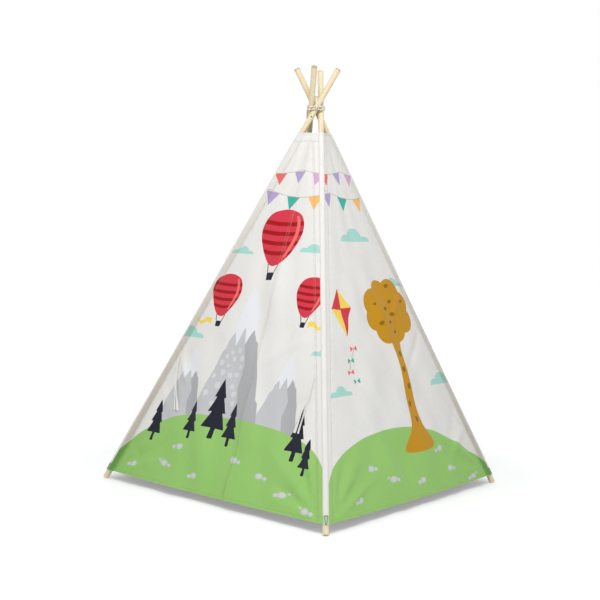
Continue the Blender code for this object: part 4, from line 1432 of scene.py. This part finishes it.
class TEEPEE_OT_stage(bpy.types.Operator):
    """White floor, even daylight, two large lamps and the camera"""
    bl_idname = "teepee.stage"
    bl_label = "Stage"

    def execute(self, context):
        stage = context.scene.teepee_stage
        x, y = np.meshgrid(np.linspace(-14.0, 14.0, 15), np.linspace(-14.0, 14.0, 15))
        points = np.stack((x, y, np.zeros_like(x) - 0.0005), -1).reshape(-1, 3)
        floor = make_mesh("floor", points, grid_quads(15, 15).tolist(), floor_material(stage),
                          sharp=40.0)
        self.light(context, "key_light", (1.5, -1.7, 3.0), 1.6, stage.key)
        self.light(context, "fill_light", (-3.6, -2.6, 3.2), 2.4, stage.fill)
        self.world(context, stage)
        self.camera(context, stage)
        context.scene.view_settings.view_transform = "Standard"
        return {"FINISHED"}

    def put(self, context, name, data, place, axes):
        """Link an object that stands at a place, turned to three axes."""
        made = bpy.data.objects.new(name, data)
        context.scene.collection.objects.link(made)
        turn = Matrix(np.stack(axes, 1).tolist()).to_4x4()
        made.matrix_world = Matrix.Translation(place) @ turn
        return made

    def light(self, context, name, place, width, power):
        """Round lamp that faces the teepee's middle."""
        data = bpy.data.lights.new(name, "AREA")
        data.shape = "DISK"
        data.size = width
        data.energy = power
        back = unit(np.array(place) - np.array((0.0, 0.0, 0.6)))
        right = unit(np.cross(UP, back))
        self.put(context, name, data, place, (right, np.cross(back, right), back))

    def world(self, context, stage):
        """Even pale daylight, and plain white where the camera looks past the floor."""
        world = bpy.data.worlds.new("daylight")
        context.scene.world = world
        world.use_nodes = True
        tree = world.node_tree
        light = tree.nodes["Background"]
        light.inputs[0].default_value = (0.97, 0.985, 1.0, 1.0)
        light.inputs[1].default_value = stage.daylight
        white = add(tree, "ShaderNodeBackground", {0: (1.0, 1.0, 1.0, 1.0), 1: 1.0})
        both = add(tree, "ShaderNodeMixShader",
                   {0: seen_directly(tree), 1: light.outputs[0], 2: white.outputs[0]})
        tree.links.new(both.outputs[0], tree.nodes["World Output"].inputs["Surface"])

    def camera(self, context, stage):
        """Camera at the photograph's place, with its slight roll."""
        forward = unit(np.array((-0.64893, 0.75711, -0.07533)))
        roll = math.radians(2.07)
        right = unit(np.cross(forward, UP))
        above = np.cross(right, forward)
        axes = (right * math.cos(roll) + above * math.sin(roll),
                above * math.cos(roll) - right * math.sin(roll), -forward)
        data = bpy.data.cameras.new("camera")
        data.lens = stage.lens
        data.sensor_width = 36.0
        data.clip_end = 60.0
        context.scene.camera = self.put(context, "camera", data, (2.7912, -3.3099, 1.0357), axes)


class TEEPEE_OT_poles(bpy.types.Operator):
    """Pine and metal finishes on the poles and ferrules of the frame"""
    bl_idname = "teepee.poles"
    bl_label = "Poles"

    def execute(self, context):
        for corner, pith in zip(CORNER_LIST, PITHS):
            wood = pine_material(corner, pith)
            metal = metal_material(corner)
            finishes = {"pole_lower_": wood, "pole_upper_": wood, "ferrule_": metal}
            for kind, finish_here in finishes.items():
                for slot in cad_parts[kind + corner.name].material_slots:
                    slot.material = finish_here
        return {"FINISHED"}


class TEEPEE_OT_sleeves(bpy.types.Operator):
    """Canvas channel round each pole, a little uneven along its length"""
    bl_idname = "teepee.sleeves"
    bl_label = "Pole sleeves"

    def execute(self, context):
        canvas = canvas_finish("plain_canvas", context.scene.teepee_ink)
        ends = np.array((0.0, 0.0008, 0.0100, 0.0112))
        distance = np.concatenate((COVER_START + ends,
                                   np.linspace(COVER_START + 0.02, COVER_STOP - 0.02, 90),
                                   COVER_STOP - ends[::-1]))
        angle = np.linspace(0.0, 2 * np.pi, 28, endpoint=False)
        d, a = np.meshgrid(distance, angle, indexing="ij")
        wave = 0.00012 * np.sin(2 * np.pi * d / 0.043 + 2 * a)
        wave = wave + 0.0001 * np.sin(2 * np.pi * d / 0.117 - 3 * a)
        place = np.stack((a * SLEEVE_RADIUS, d), -1)
        for corner in CORNER_LIST:
            made = make_wall("sleeve_cloth_" + corner.name, corner.round(d, a, SLEEVE_OUTER + wave),
                             corner.round(d, a, SLEEVE_INNER + 0 * a), place, canvas, wrap=True)
            stand_for(made, corner.body, "sleeve_" + corner.name)
        return {"FINISHED"}


class TEEPEE_OT_sides(bpy.types.Operator):
    """The right, back and left sides of the cover, each of two halves that meet at its middle"""
    bl_idname = "teepee.sides"
    bl_label = "Plain sides"

    def execute(self, context):
        cloth = context.scene.teepee_cloth
        for side in SIDE_LIST[1:]:
            up = up_steps(side, 0.0, 1.0, cloth.cell * 0.9)
            middle, width = side.width(up) / 2, side.width(up)
            spans = ((0 * up - CLOTH_EDGE, middle, EDGE_MARKS, PLAIN_MARKS),
                     (middle, width + CLOTH_EDGE, PLAIN_MARKS, EDGE_MARKS))
            for hand, name in enumerate(HALVES[side.name]):
                corner = side.corners[hand]
                made, flat, area = cut_cloth(name, side, up, *spans[hand], corner.body, context)
                fold_with_pole(made, corner, side)
                rows = self.sewing(side, hand, cloth)
                sewn = make_stitches(name + "_stitches", rows, context.scene.teepee_thread)
                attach(sewn, corner.body)
                fold_with_pole(sewn, corner, side)
        return {"FINISHED"}

    def sewing(self, side, hand, cloth):
        """Rows of stitches of a half: along the sleeve, the hem and the top edge."""
        fine = np.linspace(0.006, 0.995, 320)
        at = side.seam - SEAM_STITCH
        place = at if hand == 0 else side.width(fine) - at
        rows = [(side.surface(fine, place, cloth), side.normal)]
        for up in (HEM_STITCH / side.length, 1 - TOP_STITCH / side.length):
            width = float(side.width(up))
            a, b = (0.004, width / 2 - 0.001) if hand == 0 else (width / 2 + 0.001, width - 0.004)
            rows.append((level_line(side, up, a, b, cloth, cloth.hem_step), side.normal))
        return rows


class TEEPEE_OT_door(bpy.types.Operator):
    """The front: a strip beside each pole, two flaps that lap at the slit, and the header"""
    bl_idname = "teepee.door"
    bl_label = "Door"

    def execute(self, context):
        cloth = context.scene.teepee_cloth
        side = FRONT
        ends = np.array((0.0, 1.0))
        low_end, high_end = side.surface(ends, side.slit(ends), cloth)
        slit_length = float(np.linalg.norm(high_end - low_end))
        top = 1.0 - HEADER_HEIGHT / slit_length
        below_top = top - HEADER_GAP / slit_length
        up = up_steps(side, 0.0, below_top, cloth.cell * 0.9)
        high = up_steps(side, top, 1.0, cloth.cell * 0.9, CUT_ROWS)
        seam, width = 0 * up + side.seam, side.width(up)
        left, right = side.corners
        thin = GAP / 4
        pieces = (
            ("seam_strip_left", left.body, up, 0 * up - CLOTH_EDGE, seam - thin,
             STRIP_MARKS, SEAM_MARKS[:3], None),
            ("seam_strip_right", right.body, up, width - seam + thin, width + CLOTH_EDGE,
             SEAM_MARKS[:3], STRIP_MARKS, None),
            ("door_flap_left", "door_left", up, seam + thin, side.slit(up) - thin,
             SEAM_MARKS, FREE_MARKS, "free"),
            ("door_flap_right", "door_right", up, side.slit(up) - cloth.lap, width - seam - thin,
             LAP_MARKS, SEAM_MARKS, "lap"),
            ("door_header_left", left.body, high, 0 * high - CLOTH_EDGE, side.slit(high) - thin,
             EDGE_MARKS, PLAIN_MARKS, None),
            ("door_header_right", right.body, high, side.slit(high) + thin,
             side.width(high) + CLOTH_EDGE, PLAIN_MARKS, STRIP_MARKS, None),
        )
        for name, body, rows, start, stop, left_marks, right_marks, edge in pieces:
            corner = left if name.endswith("left") else right
            made, flat, area = cut_cloth(name, side, rows, start, stop, left_marks, right_marks,
                                         body, context, edge)
            held = "hung" if "flap" in name else "stretched"
            self.fold(made, name, corner)
        sewing = self.sewing(side, cloth, below_top, top)
        for (name, body, *_), rows in zip(pieces, sewing):
            sewn = make_stitches(name + "_stitches", rows, context.scene.teepee_thread)
            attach(sewn, body)
            self.fold(sewn, name, left if name.endswith("left") else right)
        return {"FINISHED"}

    def fold(self, piece, name, corner):
        """Give a piece its own copy of its mesh through fold_with_pole. The left strip is narrow
        and lies clear as it is.
        """
        if name != "seam_strip_left":
            fold_with_pole(piece, corner, FRONT, SEAM_INSET if "flap" in name else 0.0)

    def sewing(self, side, cloth, below_top, top):
        """Rows of stitches of the front, one list for each piece in turn."""
        step, seam = cloth.hem_step, side.seam
        fine = np.linspace(0.004, below_top - 0.002, 320)
        head = np.linspace(top + 0.002, 0.994, 12)
        width, slit, head_slit = side.width(fine), side.slit(fine), side.slit(head)
        hem, edge = HEM_STITCH / side.length, 1 - TOP_STITCH / side.length
        hem_width, hem_slit = float(side.width(hem)), float(side.slit(hem))
        edge_width, edge_slit = float(side.width(edge)), float(side.slit(edge))
        join = top + 0.003 / side.length
        near, far = FREE_STITCHES

        def run(place, lift=0.0, up=fine):
            return side.surface(up, place, cloth, lift), side.normal

        def level(up, start, stop, lift=step, count=120):
            return level_line(side, up, start, stop, cloth, lift, count), side.normal

        return (
            [run(seam - SEAM_STITCH), level(hem, 0.004, seam - 0.001)],
            [run(width - seam + SEAM_STITCH), level(hem, hem_width - seam + 0.001,
                                                    hem_width - 0.004)],
            [run(seam + SEAM_STITCH), run(slit - near, step * FREE_STEP_SHARE),
             run(slit - far, step * FREE_STEP_SHARE), level(hem, seam + 0.001, hem_slit - 0.012)],
            [run(width - seam - SEAM_STITCH), level(hem, hem_slit + 0.006,
                                                    hem_width - seam - 0.001)],
            [run(head_slit - near, up=head), run(head_slit - far, up=head),
             level(edge, 0.004, edge_slit - 0.001, count=12),
             level(join, edge_slit - 0.02, edge_slit - 0.002, 0.0, 8)],
            [level(edge, edge_slit + 0.001, edge_width - 0.002, count=8),
             level(join, edge_slit + 0.002, edge_slit + 0.010, 0.0, 8)],
        )


class TEEPEE_OT_tapes(bpy.types.Operator):
    """White tape sewn over each corner, and the folded tab that closes its lower end"""
    bl_idname = "teepee.tapes"
    bl_label = "Corner tapes"

    def execute(self, context):
        scene = context.scene
        cloth, ink = scene.teepee_cloth, scene.teepee_ink
        white = known("woven_tape", cloth_material, "woven_tape", ink.tape, TAPE_PITCH)
        green = known("tab_canvas", cloth_material, "tab_canvas", ink.tab, CANVAS_PITCH, 1)
        for corner in CORNER_LIST:
            self.tape(corner, cloth, scene.teepee_thread, white)
            self.tab(corner, green, ink)
        return {"FINISHED"}

    def bent(self, corner, distance, across, half_angle, radius):
        """Points of a strip bent round a corner and laid flat on the sides beyond it.

        Within the half angle the strip follows the sleeve. Past it, it runs straight on, square
        to the radius there, as the sides do.
        """
        arc = radius * half_angle
        inside = np.clip(across, -arc, arc)
        angle = inside / radius
        points = corner.round(distance + 0 * across, angle, radius + 0 * across)
        tangent = (np.cos(angle)[..., None] * corner.sideways
                   - np.sin(angle)[..., None] * corner.face)
        return points + (across - inside)[..., None] * tangent

    def tape(self, corner, cloth, thread, white):
        """White tape from above the tab to the top, with its long seams and two rows of tacks."""
        half = TAPE_RADIUS * HALF_CORNER + cloth.tape_overlap
        start, stop = COVER_START + TAB_LENGTH, COVER_STOP
        ends = np.array((0.0, 0.0008))
        distance = np.concatenate((start + ends, np.linspace(start + 0.004, stop - 0.004, 240),
                                   stop - ends[::-1]))
        rim = np.array((0.93, 0.975, 1.0))
        across = np.concatenate((-rim[::-1], np.linspace(-0.85, 0.85, 17), rim))
        d, x = np.meshgrid(distance, across, indexing="ij")
        wander = 0.00025 * np.sin(2 * np.pi * d / 0.21 + corner.foot[0] * 5)
        bulge = 0.00035 * np.sin(2 * np.pi * d / 0.019 + 1.3 * np.sin(d * 37)) * np.abs(x) ** 2
        lie = bulge * (np.abs(x) < 0.99)
        edge = 1 - 0.45 * ramp(np.abs(x), 0.93, 1.0)
        outer = self.bent(corner, d, x * half + wander, HALF_CORNER,
                          TAPE_RADIUS + cloth.tape_thickness * edge + lie * 0.5)
        inner = self.bent(corner, d, x * half + wander, HALF_CORNER, TAPE_RADIUS + 0 * d)
        made = make_wall("corner_tape_cloth_" + corner.name, outer, inner,
                         np.stack((x * half, d), -1), white)
        stand_for(made, corner.body, "corner_tape_" + corner.name)
        rows = []
        face = TAPE_RADIUS + cloth.tape_thickness
        fine = np.linspace(start + 0.003, stop - 0.003, 300)
        for sign in (-1, 1):
            at = 0 * fine + sign * (half - TAPE_STITCH)
            angle = sign * HALF_CORNER
            facing = corner.face * math.cos(angle) + corner.sideways * math.sin(angle)
            rows.append((self.bent(corner, fine, at, HALF_CORNER, face + 0 * fine), facing))
        at = np.linspace(0.003 - half, half - 0.003, 9)
        for tack in TACK_DISTANCES:
            rows.append((self.bent(corner, tack, at, HALF_CORNER, face + 0 * at), corner.face))
        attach(make_stitches("corner_tape_stitches_" + corner.name, rows, thread), corner.body)

    def tab(self, corner, green, ink):
        """Tab folded to a V: it narrows to a blunt point, and its folded edges stand up, darkened
        by painted shade.
        """
        distance = np.linspace(COVER_START - 0.0015, COVER_START + TAB_LENGTH - GAP, 22)
        half = np.interp(distance, COVER_START + np.array((-0.0015, 0.006, TAB_LENGTH)),
                         TAB_HALF_WIDTHS)[:, None]
        d, x = np.meshgrid(distance, np.linspace(-1.0, 1.0, 21), indexing="ij")
        rim = 0.0005 * ramp(np.abs(x), 0.60, 0.78) * (1 - ramp(np.abs(x), 0.94, 1.0))
        outer = self.bent(corner, d, x * half, 3.0, TAPE_RADIUS + 0.0008 + rim)
        inner = self.bent(corner, d, x * half, 3.0, TAPE_RADIUS + 0 * d)
        from_end = np.minimum(d - distance[0], distance[-1] - d)
        from_edge = np.minimum((1 - np.abs(x)) * half, from_end).reshape(-1)
        # Painted shade along the tab's folded edges and ends, laid as its print layer
        dark = np.zeros((len(from_edge), 4))
        dark[:, :3] = linear(ink.tab_edge_shade)
        dark[:, 3] = 0.5 + (TAB_EDGE_SHADE_WIDTH - from_edge) * 50
        made = make_wall("tape_tab_cloth_" + corner.name, outer, inner,
                         np.stack((x * half, d), -1), green,
                         inks={"print_0": np.vstack((dark, dark))})
        stand_for(made, corner.body, "tape_tab_" + corner.name)


class TEEPEE_OT_ties(bpy.types.Operator):
    """A pair of ribbons beside each front seam, hanging down the flap"""
    bl_idname = "teepee.ties"
    bl_label = "Ribbon ties"

    def execute(self, context):
        ribbon = known("woven_ribbon", cloth_material, "woven_ribbon", RIBBON_COLOUR, RIBBON_PITCH,
                       sheen=0.4)
        for hand, inset, drift in RIBBON_PLACES:
            for layer, part in enumerate(("under", "over")):
                self.ribbon("tie_%s_%s" % (hand, part), hand, inset, drift, layer,
                            context.scene.teepee_cloth, ribbon)
        return {"FINISHED"}

    def ribbon(self, name, hand, inset, drift, layer, cloth, material):
        """One ribbon: it lies down the flap, drifts sideways, and cups a little along its length.

        Its middle moves from the seam by the drift times the share of its length to the power of
        1.5. It stands off by a slow wave and a cup across it, which both grow down the ribbon.
        """
        side = FRONT
        inward = 1.0 if hand == "left" else -1.0
        low, high = side.edges[0]
        tied = (TIE_HEIGHT - low[2]) / (high[2] - low[2])
        width = float(side.width(tied))
        seam = side.seam if hand == "left" else width - side.seam
        start = seam + inward * (inset + cloth.ribbon_width / 2) - width / 2
        down = np.linspace(0.0, 1.0, 90)
        up = tied - cloth.ribbon_length * down / side.length
        centre = start + (drift + inward * layer * 0.014) * down ** 1.5 + side.width(up) / 2
        centre = centre + inward * 0.0022 * (layer - 0.5)
        u, x = np.meshgrid(up, np.linspace(-0.5, 0.5, 9), indexing="ij")
        t = np.broadcast_to(down[:, None], u.shape)
        places = centre[:, None] + x * cloth.ribbon_width
        curl = 0.0016 * np.sin(2 * np.pi * (1.3 * t + 0.25 * layer) + 2.4 * x) * t + 0.0016 * t
        cup = 0.0011 * (4 * x ** 2) * np.sin(2 * np.pi * (0.8 * t + 0.3 * layer)) ** 2
        lift = 0.0004 + layer * 0.0012 + curl * (1 + 0.6 * layer) + cup + 0.0008 * layer * t
        made = make_wall(name + "_ribbon",
                         side.surface(u, places, cloth, lift + cloth.ribbon_thickness),
                         side.surface(u, places, cloth, lift),
                         np.stack((x * cloth.ribbon_width, t * cloth.ribbon_length), -1),
                         material, flip=True)
        stand_for(made, "door_" + hand, name)
        fold_with_pole(made, side.corners[0 if hand == "left" else 1], side, SEAM_INSET)


# The lashing's tail: how far it goes round from the first corner, and how far it hangs
TAIL_TURN = math.radians(16.0)
TAIL_DROP = 0.030
# A bow's loop: half its length and height, how far its end drops and how far it stands off
LOOP_REACH = 0.011
LOOP_HALF_HEIGHT = 0.00525
LOOP_DROP = 0.0040
LOOP_LIFT = 0.0056
LOOP_OPENING = math.radians(38.0)
# How far the bow's knot stands off at its ends, and how much more at its middle
KNOT_LIFTS = (0.0031, 0.0065)
# Where the bow's middle is, in degrees
BOW_AZIMUTH = -45.0
# The bight between the poles: its top and its feet
BIGHT_TOP = 0.046
BIGHT_FOOT = 0.010


def rope_reach(azimuth, height):
    """Where the rope's middle lies at azimuths and heights, clear of the poles at rest and folded.

    Each pole's level section is an oval, grown by the rope's radius. At an azimuth the oval that
    reaches furthest that way sets the point, so the rope follows their hull.
    """
    heading = np.stack((np.cos(azimuth), np.sin(azimuth), 0 * azimuth), -1)
    grown = POLE_RADIUS + ROPE_RADIUS + ROPE_CLEARANCE
    reaches, points = [], []
    for corner in CORNER_LIST:
        out, side = heading @ corner.outward, heading @ corner.sideways
        for lean in (LEAN, LEAN - math.radians(FOLD_DEGREES)):
            centre = corner.sideways * POLE_SPREAD - corner.outward * (
                height * math.tan(lean))[:, None]
            long_axis = grown / math.cos(lean)
            reach = np.hypot(long_axis * out, grown * side)
            reaches.append(np.sum(centre * heading, -1) + reach)
            points.append(centre + corner.outward * (long_axis ** 2 * out / reach)[:, None]
                          + corner.sideways * (grown ** 2 * side / reach)[:, None])
    best = np.argmax(np.array(reaches), axis=0)
    return np.array(points)[best, np.arange(len(best))] + UP * np.asarray(height)[:, None]


class TEEPEE_OT_lashing(bpy.types.Operator):
    """Cotton rope round the poles: turns with a tail, a bow, and the bight between the poles"""
    bl_idname = "teepee.lashing"
    bl_label = "Rope lashing"

    def execute(self, context):
        rope = context.scene.teepee_rope
        cotton = rope_material(rope)
        for name, path, outward in self.runs():
            self.make(name, path, outward, rope, cotton)
        return {"FINISHED"}

    def runs(self):
        """Names, paths and outward directions of the lashing's pieces."""
        first = math.radians(CORNER_AZIMUTHS[0])
        low = -TURN_PITCH * TURN_COUNT / 2
        left = 1 - np.arange(9) / 9
        tail = rope_reach(first - TAIL_TURN * np.sin(np.pi / 2 * left),
                          low - TAIL_DROP * left ** 1.6)
        step = np.arange(TURN_COUNT * 24 + 1) / 24
        turns = rope_reach(first + 2 * np.pi * step, low + TURN_PITCH * step)
        path = resampled(np.vstack((tail, turns)), 0.0008)
        yield "lashing_rope", path, self.away(path)
        turn = LOOP_OPENING + 2 * (math.pi - LOOP_OPENING) * np.arange(21) / 20
        root = 2 * ROPE_RADIUS + 0.0007 - LOOP_REACH * (1 - math.cos(LOOP_OPENING))
        height = LOOP_HALF_HEIGHT * np.sin(turn) - LOOP_DROP * (1 - np.cos(turn)) / 2
        for hand, name in ((-1, "bow_loop_left"), (1, "bow_loop_right")):
            along = hand * (root + LOOP_REACH * (1 - np.cos(turn)))
            path = resampled(self.on_turns(along, height, 0 * turn + LOOP_LIFT), 0.0006)
            yield name, path, self.away(path)
        turn = np.pi * (np.arange(11) / 10 - 0.5)
        lift = KNOT_LIFTS[0] + KNOT_LIFTS[1] * np.cos(turn)
        path = resampled(self.on_turns(0 * turn, TURN_PITCH * np.sin(turn), lift), 0.0005)
        yield "bow_knot", path, np.broadcast_to(np.array((1.0, 1.0, 0.0)), path.shape)
        heading = direction(CORNER_AZIMUTHS[2])
        inner = LOOP_BORE / 2 + ROPE_RADIUS
        top = BIGHT_TOP - ROPE_RADIUS - inner
        angle = np.pi * np.arange(10) / 9
        arch = heading * (inner * np.cos(angle))[:, None] + UP * (
            top + inner * np.sin(angle))[:, None]
        path = np.vstack((heading * inner - UP * BIGHT_FOOT, heading * inner, arch,
                          -heading * inner, -heading * inner - UP * BIGHT_FOOT))
        path = resampled(path, 0.0006)
        yield "lashing_loop", path, np.broadcast_to(np.cross(UP, heading), path.shape)

    def away(self, path):
        """Level directions out of the teepee's middle, for a rope's rings."""
        return unit(path * np.array((1.0, 1.0, 0.0)))

    def on_turns(self, along, height, lift):
        """Points outside the turns, by distance along them from the bow's middle and height."""
        azimuth = math.radians(BOW_AZIMUTH) + np.linspace(-1.4, 1.4, 281)
        bow = TURN_PITCH * ((BOW_AZIMUTH - CORNER_AZIMUTHS[0]) / 360 - 0.5)
        points = []
        for x, h, out in zip(along, height, lift):
            line = rope_reach(azimuth, np.full_like(azimuth, bow + h))
            run = run_along(line)
            run = run - run[140]
            here = np.interp(x, run, azimuth)
            points.append(points_at(line, run, x)
                          + out * np.array((math.cos(here), math.sin(here), 0.0)))
        return np.array(points)

    def make(self, name, path, outward, rope, material):
        """Twisted rope along a path, given from the crossing, as a piece that stands for a node."""
        lobes = rope.strand_count
        points, faces, place = tube(path, outward, ROPE_RADIUS + 0.0003, 24,
                                    2 * math.pi / rope.lay, lobes, rope.groove)
        # Mask of painted shade along the grooves between the strands
        deep = np.abs(np.cos(lobes / 2 * place[:, 0] / ROPE_RADIUS))
        groove = np.clip(1 - deep / 0.40, 0, 1) * 0.7
        made = make_mesh(name + "_twisted", points + UP * CROSSING_HEIGHT, faces, material, place,
                         masks={"groove": groove})
        stand_for(made, "lashing", name)


class TEEPEE_PT_panel(bpy.types.Panel):
    """Buttons for the teepee's pieces, in the order in which they are made"""
    bl_label = "Teepee"
    bl_idname = "TEEPEE_PT_panel"
    bl_space_type = "VIEW_3D"
    bl_region_type = "UI"
    bl_category = "Teepee"

    def draw(self, context):
        for made in OPERATORS:
            self.layout.operator(made.bl_idname)
        for name in PROPERTY_GROUPS:
            box = self.layout.box()
            group_here = getattr(context.scene, name)
            for key in group_here.bl_rna.properties.keys():
                if key not in ("rna_type", "name"):
                    box.prop(group_here, key)


OPERATORS = (TEEPEE_OT_stage, TEEPEE_OT_poles, TEEPEE_OT_sleeves, TEEPEE_OT_sides, TEEPEE_OT_door,
             TEEPEE_OT_tapes, TEEPEE_OT_ties, TEEPEE_OT_lashing)
PROPERTY_GROUPS = {
    "teepee_cloth": TeepeeCloth,
    "teepee_thread": TeepeeThread,
    "teepee_ink": TeepeeInk,
    "teepee_rope": TeepeeRope,
    "teepee_stage": TeepeeStage,
}


def register():
    for name, kind in PROPERTY_GROUPS.items():
        bpy.utils.register_class(kind)
        setattr(bpy.types.Scene, name, bpy.props.PointerProperty(type=kind))
    for made in OPERATORS:
        bpy.utils.register_class(made)
    bpy.utils.register_class(TEEPEE_PT_panel)


def unregister():
    bpy.utils.unregister_class(TEEPEE_PT_panel)
    for made in reversed(OPERATORS):
        bpy.utils.unregister_class(made)
    for name, kind in PROPERTY_GROUPS.items():
        delattr(bpy.types.Scene, name)
        bpy.utils.unregister_class(kind)


def main():
    register()
    for made in OPERATORS:
        area, action = made.bl_idname.split(".")
        getattr(getattr(bpy.ops, area), action)()


if __name__ == "__main__":
    main()
